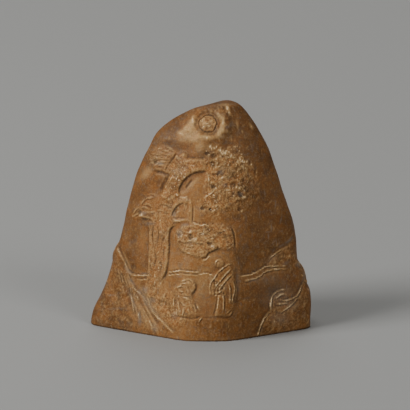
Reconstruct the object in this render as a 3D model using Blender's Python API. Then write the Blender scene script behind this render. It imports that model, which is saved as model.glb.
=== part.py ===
# Carved soapstone seal: one boulder-shaped stone with a landscape in low relief and a flat seal face below.
# Metres, +Z up, the front of the carving looks along -Y, the stone stands on z = 0.

import math
import random

import bpy
import numpy as np

MM = 0.001

# The stone as a whole
HEIGHT = 53.1 * MM
WIDTH = 51.4 * MM
DEPTH = 28.0 * MM
LOOK_DOWN = math.radians(15.0)      # the drawing of the carving is laid out as seen from this far above level

# Where the outline lies at a share of the height: left and right as shares of WIDTH, front and back of DEPTH
PROFILE = (
    (0.000, -0.500, 0.497, -0.500, 0.500),
    (0.060, -0.487, 0.498, -0.500, 0.500),
    (0.140, -0.449, 0.498, -0.495, 0.495),
    (0.180, -0.431, 0.483, -0.488, 0.491),
    (0.230, -0.414, 0.474, -0.478, 0.484),
    (0.280, -0.402, 0.444, -0.465, 0.475),
    (0.320, -0.397, 0.436, -0.450, 0.466),
    (0.400, -0.361, 0.430, -0.420, 0.450),
    (0.500, -0.338, 0.406, -0.370, 0.425),
    (0.600, -0.314, 0.370, -0.315, 0.395),
    (0.700, -0.280, 0.336, -0.255, 0.365),
    (0.790, -0.235, 0.304, -0.190, 0.330),
    (0.865, -0.191, 0.264, -0.125, 0.290),
    (0.915, -0.128, 0.232, -0.080, 0.255),
    (0.955, -0.052, 0.202, -0.036, 0.215),
    (0.985, 0.046, 0.168, 0.010, 0.165),
    (1.000, 0.120, 0.120, 0.085, 0.085),
)

# The flats of the boulder in plan: heading of the normal in degrees, distance at the foot and at the top.
# The front is nearly level, with a face turned some 30 degrees away on each side of it.
FLATS = (
    (-121, 0.945, 0.97),
    (-91, 0.96, 0.95),
    (-61, 1.07, 1.06),
    (3, 1.83, 1.50),
    (58, 1.46, 1.16),
    (92, 1.00, 0.95),
    (132, 1.48, 1.16),
    (180, 1.81, 1.60),
)
CORNER_FOOT = 26.0                  # the greater, the crisper the corners between the flats
CORNER_TOP = 6.0

# The net of the working mesh and the count it is thinned to
COLUMNS = 380
ROWS = 240
FOOT_RINGS = 4
BACK_SPARING = 0.45                 # columns to a length of the plain back, against those of the carved front
FACE_TARGET = 8900
SPARE_FOOT = 1.0 * MM               # worked below the table and sawn off level

# Depths of the carving
RELIEF = 0.30 * MM                  # a shape above the ground cut back beside it
LINE_DEEP = 0.32 * MM
LINE_WIDE = 0.85 * MM
FINE_DEEP = 0.20 * MM
FINE_WIDE = 0.70 * MM
BOLD_DEEP = 0.48 * MM
BOLD_WIDE = 1.05 * MM
NEAR_REACH = 2.2 * MM               # how far the ground is cut back beside a shape
FAR_REACH = 3.8 * MM
EDGE_SOFT = 0.15 * MM               # the rounding of an edge cut by hand
SHOULDER = 0.6 * MM                 # the rounding of a raised mass
RUN_OUT = 0.8 * MM                  # the length over which a line fades at its ends
UNEVEN = 0.036 * MM                 # the slow unevenness of a hand-rubbed stone
WAVES = ((20.3 * MM, 0.4), (13.4 * MM, 2.1), (7.6 * MM, 4.4))
FOOT_PLAIN = 1.8 * MM               # the band above the foot in which the relief dies out

# The drawing is laid out on a sheet that is stretched over the stone's width and its height as pictured.
# Its points are sheet units (1 mm on the real stone) to the right of the middle and up from the foot's
# nearest point.
SHEET_WIDE = 51.4
SHEET_HIGH = 55.5
BACK_SHEET_HIGH = 53.1
SUN_CENTRE = (1.55, 50.15)
SUN_RADIUS = 2.25 * MM
SUN_RIM = 3.9 * MM                  # the soft raised ring round the disc
SUN_RIM_HIGH = 0.32 * MM
SUN_RIM_INSIDE = 1.0 * MM
SUN_RIM_OUTSIDE = 1.7 * MM

TRUNK_LEFT = ((-12.2, 28.0), (-12.0, 24.0), (-12.2, 20.5), (-12.4, 17.0), (-12.6, 14.5), (-13.6, 11.4))
TRUNK_RIGHT = ((-6.1, 26.6), (-7.1, 25.6), (-7.35, 22.0), (-7.6, 18.5), (-8.1, 16.0), (-8.9, 14.0))
TRUNK_HEART = ((-9.6, 30.0), (-9.8, 24.0), (-10.0, 18.0), (-10.6, 13.0))
TRUNK_WIDE = 4.6 * MM
BARK = (
    ((-9.0, 22.0), (-8.6, 22.9), (-8.0, 23.4)),
    ((-8.4, 22.0), (-8.55, 20.6), (-8.5, 19.2)),
    ((-10.9, 27.0), (-11.1, 24.5), (-10.8, 22.0)),
    ((-9.9, 26.5), (-9.6, 24.6), (-9.9, 23.0)),
    ((-10.6, 21.0), (-10.3, 19.0), (-10.8, 17.0)),
    ((-9.4, 18.6), (-9.0, 17.4), (-9.3, 16.0)),
    ((-11.4, 19.6), (-11.6, 17.6), (-11.3, 16.0)),
)

BOUGH_HEART = ((-8.2, 30.4), (-7.2, 33.6), (-6.6, 36.4), (-4.8, 38.9), (-2.2, 40.3), (1.0, 40.6))
BOUGH_WIDE = 3.4 * MM
BOUGH_UNDER = ((-4.9, 33.4), (-5.0, 35.0), (-4.4, 36.3), (-3.2, 37.6), (-1.8, 38.6), (0.2, 39.0),
               (1.4, 39.0))
BOUGH_OUTER = ((-9.2, 33.8), (-9.0, 35.4), (-8.2, 36.9), (-7.8, 38.6), (-7.7, 40.3), (-6.9, 41.7),
               (-5.7, 42.8))
BOUGH_TOP = ((-3.6, 41.9), (-2.6, 42.15), (-1.0, 42.1), (0.9, 42.0))
BOUGH_INNER = ((-3.5, 35.0), (-2.8, 36.1), (-1.9, 37.3))
HOLLOW_FLOOR = ((-5.2, 33.5), (-4.2, 33.1), (-3.0, 33.1))

RECESS_ARC = ((-6.5, 28.5), (-6.45, 29.6), (-5.9, 30.6), (-5.0, 31.4), (-3.5, 32.0))
RECESS_FLOOR = ((-6.2, 28.3), (-5.0, 28.2), (-3.6, 28.2))
RECESS_POST = ((-1.95, 31.2), (-1.95, 29.4), (-2.2, 26.8))

LOW_PAD = ((-15.0, 30.2), (-14.2, 32.0), (-12.6, 33.8), (-10.4, 34.0), (-8.2, 33.2), (-7.2, 31.0),
           (-8.4, 28.6), (-11.6, 27.8), (-14.6, 28.4))
HIGH_PAD = ((-11.6, 42.6), (-10.4, 44.6), (-8.2, 45.2), (-6.2, 44.2), (-5.8, 42.8), (-7.3, 41.0),
            (-7.9, 38.8), (-10.4, 38.9), (-11.6, 40.4))
CLUMP = ((-6.4, 26.2), (-4.0, 27.0), (-1.0, 27.2), (2.4, 27.0), (5.4, 26.5), (7.5, 25.6), (7.8, 23.0),
         (6.6, 21.3), (3.4, 21.0), (1.9, 20.6), (0.9, 19.4), (-0.2, 19.1), (-2.4, 20.0), (-5.0, 21.3),
         (-6.6, 23.6))
CROWN = ((1.6, 44.6), (4.4, 45.4), (8.4, 45.0), (11.4, 42.8), (13.6, 39.6), (13.6, 35.0), (11.6, 31.4),
         (8.0, 28.6), (4.4, 28.2), (1.6, 30.0), (0.8, 33.0), (1.6, 37.6), (2.2, 41.0))
CROWN_EDGE = ((1.2, 45.2), (2.6, 45.0), (4.6, 43.9), (6.4, 43.3), (8.2, 42.0), (10.0, 41.0), (11.6, 40.2))
CLUMP_TOP = ((-2.2, 27.5), (-0.6, 27.1), (0.8, 27.1), (2.6, 26.7))
CLUMP_UNDER = ((-5.0, 21.3), (-3.2, 20.4), (-1.2, 19.4), (0.4, 19.1), (1.3, 19.8), (1.9, 20.6), (3.4, 21.0),
               (5.0, 21.3))
CLUMP_RIGHT = ((7.3, 25.8), (7.7, 24.2), (7.8, 22.2))
TWIG = ((0.6, 32.9), (1.6, 33.6), (3.1, 34.7))
PITS = (
    (-10.4, 41.2, 0.75), (-14.0, 29.6, 0.8), (2.8, 35.7, 1.0), (4.5, 38.3, 0.8), (7.5, 36.0, 0.9),
    (9.4, 34.0, 1.1), (-2.6, 24.1, 1.0), (1.8, 22.6, 0.8), (5.2, 23.5, 0.7), (-4.9, 24.6, 0.7),
    (0.5, 30.6, 0.9), (8.0, 30.4, 0.8), (2.4, 43.2, 0.8), (5.3, 28.3, 0.7),
)

HEAD_RIGHT = (4.45, 18.2)
HEAD_LEFT = (-2.75, 13.5)
HEAD_RADIUS = 1.15 * MM
ROBE_RIGHT = ((2.0, 15.6), (3.7, 17.2), (6.4, 18.0), (7.8, 15.0), (8.0, 10.0), (7.2, 5.8), (3.2, 5.8),
              (3.8, 9.6), (1.8, 10.8))
ROBE_LEFT = ((-7.4, 12.4), (-5.6, 13.6), (-3.4, 14.6), (-1.4, 14.2), (-1.1, 11.8), (-1.7, 9.6), (-0.6, 6.2),
             (-3.4, 5.7), (-6.4, 5.9), (-7.5, 8.4))
ROBE_LINES = (
    ((3.7, 15.2), (4.5, 16.4), (5.5, 17.4), (6.8, 18.1)),
    ((4.7, 12.7), (5.3, 13.7), (6.2, 14.9), (7.2, 15.9)),
    ((1.8, 10.8), (1.95, 12.4), (2.3, 13.8), (3.6, 15.2)),
    ((0.8, 15.8), (2.2, 15.5), (3.6, 15.2), (3.6, 14.1)),
    ((4.0, 10.4), (3.9, 9.2), (3.7, 7.8), (3.2, 6.0)),
    ((7.3, 13.7), (7.65, 12.4), (7.7, 10.8), (8.0, 9.4)),
    ((6.1, 6.7), (6.7, 7.1), (7.2, 7.0)),
    ((-5.4, 13.2), (-4.4, 13.8), (-3.7, 13.5)),
    ((-5.3, 11.8), (-4.4, 11.5), (-3.7, 11.6)),
    ((-4.3, 9.2), (-4.0, 7.8), (-3.6, 6.2)),
    ((-2.0, 9.0), (-1.4, 7.9), (-1.1, 6.7)),
    ((-7.3, 7.6), (-7.0, 6.3), (-6.2, 5.6)),
)
SHADOW_LEFT = ((-1.2, 14.0), (-0.9, 12.8), (-1.3, 11.8), (-2.0, 10.8), (-1.9, 9.8))
GROUND_LINE = ((-6.0, 5.9), (-3.6, 5.6), (-1.6, 5.4), (0.0, 5.8), (3.0, 5.7), (7.2, 5.4))

WATER = (
    ((-7.2, 16.35), (-5.6, 16.3), (-4.3, 16.55), (-2.8, 16.25), (-0.2, 16.0)),
    ((-7.6, 15.45), (-5.0, 15.6), (-2.4, 15.6), (0.2, 15.35)),
    ((-15.2, 14.6), (-13.4, 14.5), (-12.4, 14.6)),
)
SHORE = ((7.8, 15.5), (10.6, 15.4), (12.8, 16.2), (14.6, 17.4), (15.7, 18.8), (16.6, 20.1), (18.6, 21.0),
         (21.0, 21.4))
SHORE_LINES = (
    ((10.2, 14.7), (12.4, 15.1), (14.2, 15.8), (16.2, 16.6), (19.6, 16.6)),
    ((9.6, 13.8), (11.6, 14.2), (13.6, 14.8), (15.4, 15.2)),
    ((15.0, 17.3), (17.0, 17.35), (19.4, 17.3)),
    ((16.8, 19.4), (18.4, 19.6), (20.2, 19.6)),
)
ROCK_RIGHT = ((13.0, 0.9), (13.9, 3.2), (14.8, 5.2), (15.9, 6.9), (16.05, 9.2), (17.0, 10.9), (18.4, 11.9),
              (20.4, 12.4))
ROCK_RIGHT_HIGH = ((18.1, 8.7), (20.2, 9.1), (22.0, 10.4), (23.1, 11.8), (23.9, 14.0), (24.8, 15.0))
ROCK_LINES = (
    ((16.7, 9.7), (17.7, 9.9), (18.3, 10.6), (19.6, 10.7)),
    ((18.2, 9.4), (19.1, 9.6), (20.0, 10.0)),
    ((18.8, 6.7), (20.2, 7.9), (21.6, 9.0), (22.4, 10.2)),
    ((16.1, 6.8), (17.2, 7.9), (17.7, 9.0)),
    ((-14.0, 8.4), (-13.3, 6.7), (-12.3, 4.9), (-11.2, 2.6)),
    ((-12.6, 8.0), (-11.9, 6.2), (-10.4, 3.4)),
    ((-14.4, 6.8), (-14.4, 5.4)),
    ((-18.6, 17.4), (-17.6, 14.8), (-16.4, 12.6)),
    ((-20.2, 13.6), (-18.6, 11.0), (-17.4, 8.6)),
)
ROCK_LEFT = ((-20.6, 22.4), (-19.2, 21.4), (-18.4, 19.6), (-17.5, 17.6), (-16.8, 15.7), (-15.4, 13.4),
             (-14.4, 11.3), (-12.9, 10.4), (-12.2, 8.4), (-10.4, 6.2), (-8.8, 4.1), (-6.4, 2.2))

# The plainer back, in the same units to the right of the middle as seen from behind and up from the foot
BACK_HILL = ((-24.6, 12.0), (-21.0, 15.6), (-17.0, 17.0), (-12.4, 13.6), (-7.0, 10.6), (-1.0, 9.4),
             (5.0, 10.6), (11.0, 13.6), (15.0, 17.6), (18.0, 19.6), (21.4, 17.6))
BACK_LINES = (
    ((-19.6, 13.0), (-16.4, 8.6), (-14.4, 3.6)),
    ((-12.0, 11.6), (-9.0, 7.4), (-7.6, 3.0)),
    ((13.0, 13.8), (10.6, 9.0), (9.6, 4.0)),
    ((18.0, 17.0), (17.0, 11.0), (17.8, 5.0)),
    ((-3.4, 8.0), (-1.0, 5.0), (-0.6, 2.4)),
)

# The seal face below: a plain border and rows of shallow strokes
STROKE_DEEP = 0.5 * MM
STROKE_WIDE = 0.9 * MM
BORDER_WIDE = 0.7 * MM
FACE_LONG = 28.0 * MM
FACE_SHORT = 15.0 * MM
FACE_MIDDLE = (0.5 * MM, 2.4 * MM)
STROKE_COLUMNS = 6
STROKE_ROWS = 3
LAND = 3.0 * MM                     # the plain band left between the two halves of the face


def spline(rows, at):
    """A smooth curve through the rows; the end rows are mirrored so that the top closes round."""
    after = rows[-2].copy()
    after[1:] = 2.0 * rows[-1][1:] - rows[-2][1:]
    before = 2.0 * rows[0] - rows[1]
    points = np.vstack([before, rows, after])
    step = np.clip(at.astype(int), 0, len(rows) - 2)
    part = (at - step)[:, None]
    p0, p1, p2, p3 = points[step], points[step + 1], points[step + 2], points[step + 3]
    bend = (2.0 * p0 - 5.0 * p1 + 4.0 * p2 - p3) * part ** 2 + (3.0 * p1 - p0 - 3.0 * p2 + p3) * part ** 3
    return 0.5 * (2.0 * p1 + (p2 - p0) * part + bend)


def outline(angle, share):
    """The footprint's shape at a share of the height, with x and y left at their own scale."""
    crisp = CORNER_FOOT + (CORNER_TOP - CORNER_FOOT) * share
    total = np.zeros_like(angle)
    for heading, low, high in FLATS:
        away = low + (high - low) * share
        total += np.maximum(0.0, np.cos(angle - math.radians(heading)) / away) ** crisp
    reach = total ** (-1.0 / crisp)
    return reach * np.cos(angle), reach * np.sin(angle)


def column_angles(count):
    """The heading of each column, evenly stepped along the foot's outline with fewer on the plain back."""
    angle = np.linspace(-math.pi, math.pi, 7201)
    x, y = outline(angle, 0.2)
    weight = np.where(y[1:] < 0.25, 1.0, BACK_SPARING)
    way = np.concatenate([[0.0], np.cumsum(np.hypot(np.diff(x), np.diff(y)) * weight)])
    return np.interp(np.arange(count) / count * way[-1], way, angle)


def side_rows(count):
    """Height, left, right, front and back of each ring of the side, evenly stepped along the stone's skin."""
    rows = np.array(PROFILE) * np.array([HEIGHT, WIDTH, WIDTH, DEPTH, DEPTH])
    at = np.linspace(0.0, len(rows) - 1.000001, 4000)
    fine = spline(rows, at)
    way = np.concatenate([[0.0], np.cumsum(np.abs(np.diff(fine, axis=0)).max(axis=1))])
    return spline(rows, np.interp(np.linspace(0.0, way[-1], count), way, at))


def boulder(name):
    """A sphere whose rings become the underside and the rings of the boulder's side."""
    bpy.ops.mesh.primitive_uv_sphere_add(segments=COLUMNS, ring_count=ROWS, radius=1.0)
    stone = bpy.context.active_object
    stone.name = name
    stone.data.name = name
    count = len(stone.data.vertices)
    flat = np.empty(count * 3)
    stone.data.vertices.foreach_get("co", flat)
    ball = flat.reshape(-1, 3)
    ring = np.rint(np.arccos(np.clip(-ball[:, 2], -1.0, 1.0)) / math.pi * ROWS).astype(int)
    share = (np.arctan2(ball[:, 1], ball[:, 0]) / (2.0 * math.pi) + 0.5) * COLUMNS
    angle = column_angles(COLUMNS)[np.rint(share).astype(int) % COLUMNS]
    rows = side_rows(ROWS + 1 - FOOT_RINGS)
    place = np.zeros((count, 3))
    for index in range(ROWS + 1):
        mine = ring == index
        height, left, right, front, back = rows[max(0, index - FOOT_RINGS)]
        x, y = outline(angle[mine], height / HEIGHT)
        every = outline(np.linspace(-math.pi, math.pi, 721), height / HEIGHT)
        x = left + (right - left) * (x - every[0].min()) / (every[0].max() - every[0].min())
        y = front + (back - front) * (y - every[1].min()) / (every[1].max() - every[1].min())
        if index < FOOT_RINGS:
            x = x * index / FOOT_RINGS
            y = y * index / FOOT_RINGS
        place[mine] = np.stack([x, y, np.full(mine.sum(), height)], axis=1)
    stone.data.vertices.foreach_set("co", place.ravel())
    stone.data.update()
    return stone


def read(stone, what):
    """Positions or normals of the stone's vertices."""
    flat = np.empty(len(stone.data.vertices) * 3)
    stone.data.vertices.foreach_get(what, flat)
    return flat.reshape(-1, 3)


class Carving:
    """Heights of the relief over the smooth stone, built up stroke by stroke."""

    def __init__(self, stone):
        self.place = read(stone, "co")
        self.normal = read(stone, "normal")
        self.raised = np.zeros(len(self.place))
        self.cut = np.zeros(len(self.place))
        self.face("front")

    def face(self, side):
        """Chooses the drawing: the front seen from a little above, or the back seen level."""
        if side == "front":
            self.right = np.array([1.0, 0.0, 0.0])
            self.up = np.array([0.0, math.sin(LOOK_DOWN), math.cos(LOOK_DOWN)])
            self.base = -DEPTH / 2.0 * math.sin(LOOK_DOWN)
            sheet_high = SHEET_HIGH
        else:
            self.right = np.array([-1.0, 0.0, 0.0])
            self.up = np.array([0.0, 0.0, 1.0])
            self.base = 0.0
            sheet_high = BACK_SHEET_HIGH
        self.toward = np.cross(self.right, self.up)
        self.facing = self.normal @ self.toward
        self.across = self.place @ self.right
        self.along = self.place @ self.up - self.base
        self.unit = np.array([WIDTH / SHEET_WIDE, self.along.max() / sheet_high])
        self.seen = np.where(self.facing > 0.03)[0]

    def on_stone(self, points):
        """The places on the smooth stone that lie behind points of the drawing."""
        found = []
        for u, w in np.array(points) * self.unit:
            gap = (u - self.across[self.seen]) ** 2 + (w - self.along[self.seen]) ** 2
            near = self.seen[np.argmin(gap)]
            step = (u - self.across[near]) * self.right + (w - self.along[near]) * self.up
            if self.facing[near] > 0.25:
                step = step - self.toward * (self.normal[near] @ step) / self.facing[near]
                found.append(self.place[near] + step)
            else:
                found.append(self.place[near])
        return np.array(found)

    def trace(self, points):
        """A smooth path over the stone through points of the drawing."""
        rows = np.array(points, dtype=float)
        rows = np.hstack([np.arange(len(rows))[:, None], rows])
        pieces = max(2, 3 * (len(rows) - 1)) + 1
        curve = spline(rows, np.linspace(0.0, len(rows) - 1.000001, pieces))
        return self.on_stone(curve[:, 1:])

    def near(self, path, reach):
        """Vertices near a path: index, distance, side (+ left of its run), distance from its ends."""
        low = path.min(axis=0) - reach
        high = path.max(axis=0) + reach
        box = np.all((self.place > low) & (self.place < high), axis=1)
        index = np.where(box & (self.facing > -0.35))[0]
        best = np.full(len(index), 1.0)
        side = np.zeros(len(index))
        along = np.zeros(len(index))
        start = 0.0
        for a, b in zip(path[:-1], path[1:]):
            line = b - a
            length = max(np.linalg.norm(line), 1e-9)
            off = self.place[index] - a
            share = np.clip(off @ line / length ** 2, 0.0, 1.0)
            gap = off - share[:, None] * line
            distance = np.linalg.norm(gap, axis=1)
            closer = distance < best
            best = np.where(closer, distance, best)
            turn = np.einsum("ij,ij->i", np.cross(line / length, gap), self.normal[index])
            side = np.where(closer, turn, side)
            along = np.where(closer, start + share * length, along)
            start += length
        keep = best < reach
        ends = np.minimum(along, start - along)
        return index[keep], best[keep], side[keep], ends[keep]

    def line(self, points, wide=LINE_WIDE, deep=LINE_DEEP):
        """A cut with sloping sides that runs out at both ends."""
        index, distance, side, ends = self.near(self.trace(points), wide / 2.0)
        fade = np.clip(0.25 + ends / RUN_OUT, 0.0, 1.0)
        cut = deep * (1.0 - (distance / (wide / 2.0)) ** 1.5) * fade
        self.cut[index] = np.maximum(self.cut[index], cut)

    def shelf(self, points, hand, drop=RELIEF, reach=NEAR_REACH):
        """The ground cut back on one side of a line (+1 left of its run, -1 right), rising with distance."""
        index, distance, side, ends = self.near(self.trace(points), reach)
        inside = side * hand > 0.0
        fade = np.clip(0.2 + 0.5 * ends / RUN_OUT, 0.0, 1.0)
        cut = drop * (1.0 - distance / reach) ** 1.6 * fade
        lip = drop * np.clip(1.0 - distance / EDGE_SOFT, 0.0, 1.0) * fade
        cut = np.where(inside, cut, lip)
        self.cut[index] = np.maximum(self.cut[index], cut)

    def swell(self, points, wide, high=RELIEF):
        """A rounded limb along a line."""
        index, distance, side, ends = self.near(self.trace(points), wide / 2.0)
        lift = high * np.sqrt(np.clip(1.0 - (distance / (wide / 2.0)) ** 2, 0.0, 1.0))
        self.raised[index] = np.maximum(self.raised[index], lift)

    def mass(self, points, high=RELIEF, soft=SHOULDER):
        """A closed shape raised above the ground with a rounded shoulder."""
        loop = np.array(points + points[:1], dtype=float)
        index, distance, side, ends = self.near(self.on_stone(loop), 2.5 * soft)
        inside = np.zeros(len(self.place), dtype=bool)
        u = self.across / self.unit[0]
        w = self.along / self.unit[1]
        for (u0, w0), (u1, w1) in zip(loop[:-1], loop[1:]):
            crosses = (w0 > w) != (w1 > w)
            meet = (u1 - u0) * (w - w0) / (w1 - w0 if w1 != w0 else 1e-9) + u0
            inside ^= crosses & (u < meet)
        inside &= self.facing > 0.0
        depth = np.full(len(self.place), 2.5 * soft)
        depth[index] = distance
        lift = np.where(inside, high * np.clip(depth / soft, 0.0, 1.0) ** 0.5, 0.0)
        self.raised = np.maximum(self.raised, lift)

    def pit(self, u, w, radius, deep=LINE_DEEP):
        """A drilled or pecked hollow."""
        centre = self.on_stone(((u, w),))[0]
        distance = np.linalg.norm(self.place - centre, axis=1)
        self.cut = np.maximum(self.cut, deep * np.clip(1.2 * (1.0 - (distance / radius) ** 2), 0.0, 1.0))

    def dome(self, centre, radius, high):
        """A raised round, highest in the middle."""
        middle = self.on_stone((centre,))[0]
        distance = np.linalg.norm(self.place - middle, axis=1)
        lift = high * np.sqrt(np.clip(1.0 - (distance / radius) ** 2, 0.0, 1.0))
        self.raised = np.maximum(self.raised, lift)

    def rim(self, centre, radius, inside, outside, high):
        """A soft raised ring, steeper within than without."""
        middle = self.on_stone((centre,))[0]
        distance = np.linalg.norm(self.place - middle, axis=1)
        spread = np.where(distance < radius, inside, outside)
        self.raised += high * np.exp(-((distance - radius) / spread) ** 2)

    def ring(self, centre, radius, wide, deep):
        """A circular cut."""
        middle = self.on_stone((centre,))[0]
        distance = np.linalg.norm(self.place - middle, axis=1)
        cut = deep * np.clip(1.0 - (np.abs(distance - radius) / (wide / 2.0)) ** 1.5, 0.0, 1.0)
        self.cut = np.maximum(self.cut, cut)


def carve(stone):
    """Moves the smooth stone's vertices along their normals by the whole relief."""
    work = Carving(stone)

    # The sun, a disc ringed by a cut, in the hollow of a soft raised ring
    work.rim(SUN_CENTRE, SUN_RIM, SUN_RIM_INSIDE, SUN_RIM_OUTSIDE, SUN_RIM_HIGH)
    work.ring(SUN_CENTRE, SUN_RADIUS, LINE_WIDE, LINE_DEEP)
    work.ring(SUN_CENTRE, 0.72 * SUN_RADIUS, FINE_WIDE, 0.6 * FINE_DEEP)

    # The old pine: trunk, arched bough and the hollow under it
    work.swell(TRUNK_HEART, TRUNK_WIDE, RELIEF)
    work.swell(BOUGH_HEART, BOUGH_WIDE, 1.25 * RELIEF)
    work.shelf(TRUNK_RIGHT, 1, BOLD_DEEP)
    work.line(TRUNK_RIGHT, BOLD_WIDE, BOLD_DEEP)
    work.shelf(TRUNK_LEFT, -1, RELIEF, FAR_REACH)
    for path in BARK:
        work.line(path, FINE_WIDE, FINE_DEEP)
    work.shelf(BOUGH_UNDER, -1, 1.2 * BOLD_DEEP, 1.2 * FAR_REACH)
    work.line(BOUGH_UNDER, BOLD_WIDE, BOLD_DEEP)
    work.line(BOUGH_OUTER, 1.4 * BOLD_WIDE, 0.9 * LINE_DEEP)
    work.shelf(BOUGH_TOP, 1)
    work.line(BOUGH_INNER, LINE_WIDE, FINE_DEEP)
    work.shelf(HOLLOW_FLOOR, 1)
    work.shelf(RECESS_ARC, -1, BOLD_DEEP)
    work.line(RECESS_ARC, BOLD_WIDE, BOLD_DEEP)
    work.shelf(RECESS_FLOOR, 1)
    work.line(RECESS_POST, LINE_WIDE, LINE_DEEP)

    # The needle pads and leaf masses
    work.mass(LOW_PAD, 0.7 * RELIEF)
    work.mass(HIGH_PAD, 0.7 * RELIEF)
    work.mass(CLUMP, 0.9 * RELIEF)
    work.mass(CROWN, 0.6 * RELIEF, 1.6 * SHOULDER)
    work.shelf(CROWN_EDGE, 1, 0.6 * RELIEF)
    work.shelf(CLUMP_TOP, 1)
    work.shelf(CLUMP_UNDER, -1, 1.2 * RELIEF)
    work.line(CLUMP_RIGHT, FINE_WIDE, LINE_DEEP)
    work.line(TWIG, FINE_WIDE, LINE_DEEP)
    for u, w, radius in PITS:
        work.pit(u, w, radius * MM)

    # Two robed figures on the bank
    work.mass(ROBE_RIGHT, RELIEF)
    work.mass(ROBE_LEFT, RELIEF)
    work.dome(HEAD_RIGHT, HEAD_RADIUS, 1.7 * RELIEF)
    work.dome(HEAD_LEFT, HEAD_RADIUS, 1.7 * RELIEF)
    for path in ROBE_LINES:
        work.line(path, LINE_WIDE, LINE_DEEP)
    work.shelf(SHADOW_LEFT, 1, BOLD_DEEP)
    work.line(GROUND_LINE, LINE_WIDE, LINE_DEEP)

    # Water, shore and rocks
    for path in WATER:
        work.line(path, FINE_WIDE, LINE_DEEP)
    work.shelf(SHORE, 1, 1.2 * RELIEF, FAR_REACH)
    for path in SHORE_LINES:
        work.line(path, FINE_WIDE, FINE_DEEP)
    work.shelf(ROCK_RIGHT, 1, 1.4 * RELIEF, FAR_REACH)
    work.shelf(ROCK_RIGHT_HIGH, 1, 1.2 * RELIEF)
    work.shelf(ROCK_LEFT, 1, 1.6 * RELIEF, FAR_REACH)
    for path in ROCK_LINES:
        work.line(path, LINE_WIDE, LINE_DEEP)

    # The plainer back
    work.face("back")
    work.shelf(BACK_HILL, 1, 1.2 * RELIEF, FAR_REACH)
    for path in BACK_LINES:
        work.line(path, LINE_WIDE, LINE_DEEP)

    # The slow waves of the rubbed skin, and the whole relief dying out just above the foot
    place = work.place
    lift = work.raised - work.cut
    across = place[:, 0] + 0.7 * place[:, 2]
    along = 0.8 * place[:, 2] - 0.5 * place[:, 0] + place[:, 1]
    for length, phase in WAVES:
        turn = 2.0 * math.pi / length
        lift = lift + UNEVEN * np.sin(turn * across + phase) * np.sin(turn * along + 2.0 * phase)
    lift = lift * np.clip(0.35 + place[:, 2] / FOOT_PLAIN, 0.0, 1.0)
    lift = np.where(work.normal[:, 2] < -0.7, 0.0, lift)
    moved = place + work.normal * lift[:, None]
    moved[:, :2] -= (moved[:, :2].min(axis=0) + moved[:, :2].max(axis=0)) / 2.0
    on_foot = place[:, 2] < 0.001 * MM
    moved[:, 2] = np.where(on_foot, -SPARE_FOOT, np.maximum(moved[:, 2], 0.02 * MM))
    stone.data.vertices.foreach_set("co", moved.ravel())
    stone.data.update()


def bar(length, wide, x, y, turn, cutters):
    """One straight cut of the seal face, as a block that sinks into the underside."""
    bpy.ops.mesh.primitive_cube_add(size=1.0, location=(x, y, 0.0), rotation=(0.0, 0.0, turn))
    block = bpy.context.active_object
    block.name = "STROKE_CUTTER"
    block.scale = (length, wide, 2.0 * STROKE_DEEP)
    bpy.ops.object.transform_apply(location=True, rotation=True, scale=True)
    cutters.append(block)


def seal_face():
    """The border and the rows of strokes: pairs of short bars whose turn a seeded draw decides."""
    chance = random.Random(11)
    cutters = []
    middle_x, middle_y = FACE_MIDDLE
    half_x = (FACE_LONG - BORDER_WIDE) / 2.0
    half_y = (FACE_SHORT - BORDER_WIDE) / 2.0
    for sign in (-1.0, 1.0):
        long_side = FACE_LONG - 3.0 * BORDER_WIDE
        short_side = FACE_SHORT - 3.0 * BORDER_WIDE
        bar(long_side, BORDER_WIDE, middle_x, middle_y + sign * half_y, 0.0, cutters)
        bar(short_side, BORDER_WIDE, middle_x + sign * half_x, middle_y, math.pi / 2.0, cutters)
    pitch_x = (FACE_LONG - 3.0 * BORDER_WIDE - LAND) / STROKE_COLUMNS
    pitch_y = (FACE_SHORT - 3.0 * BORDER_WIDE) / STROKE_ROWS
    for column in range(STROKE_COLUMNS):
        for row in range(STROKE_ROWS):
            shift = LAND / 2.0 if column >= STROKE_COLUMNS / 2.0 else -LAND / 2.0
            x = middle_x + (column - (STROKE_COLUMNS - 1) / 2.0) * pitch_x + shift
            y = middle_y + (row - (STROKE_ROWS - 1) / 2.0) * pitch_y
            if chance.random() < 0.5:
                bar(0.7 * pitch_x, STROKE_WIDE, x, y + 0.22 * pitch_y, 0.0, cutters)
                bar(0.7 * pitch_x, STROKE_WIDE, x, y - 0.22 * pitch_y, 0.0, cutters)
            else:
                bar(0.72 * pitch_y, STROKE_WIDE, x - 0.23 * pitch_x, y, math.pi / 2.0, cutters)
                bar(0.72 * pitch_y, STROKE_WIDE, x + 0.23 * pitch_x, y, math.pi / 2.0, cutters)
    bpy.ops.object.select_all(action="DESELECT")
    for block in cutters:
        block.select_set(True)
    bpy.context.view_layer.objects.active = cutters[0]
    bpy.ops.object.join()
    return bpy.context.active_object


def cut_away(stone, cutter):
    """An exact Boolean difference, applied."""
    modifier = stone.modifiers.new("Cut", "BOOLEAN")
    modifier.operation = "DIFFERENCE"
    modifier.solver = "EXACT"
    modifier.object = cutter
    bpy.ops.object.select_all(action="DESELECT")
    bpy.context.view_layer.objects.active = stone
    stone.select_set(True)
    bpy.ops.object.modifier_apply(modifier=modifier.name)


def gather(title, *things):
    """Moves things from wherever they are into a collection of their own."""
    collection = bpy.data.collections.new(title)
    bpy.context.scene.collection.children.link(collection)
    for thing in things:
        for home in list(thing.users_collection):
            home.objects.unlink(thing)
        collection.objects.link(thing)


for leftover in list(bpy.data.objects):
    bpy.data.objects.remove(leftover, do_unlink=True)

stone = boulder("SEAL_STONE")
carve(stone)

bpy.context.view_layer.objects.active = stone
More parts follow.
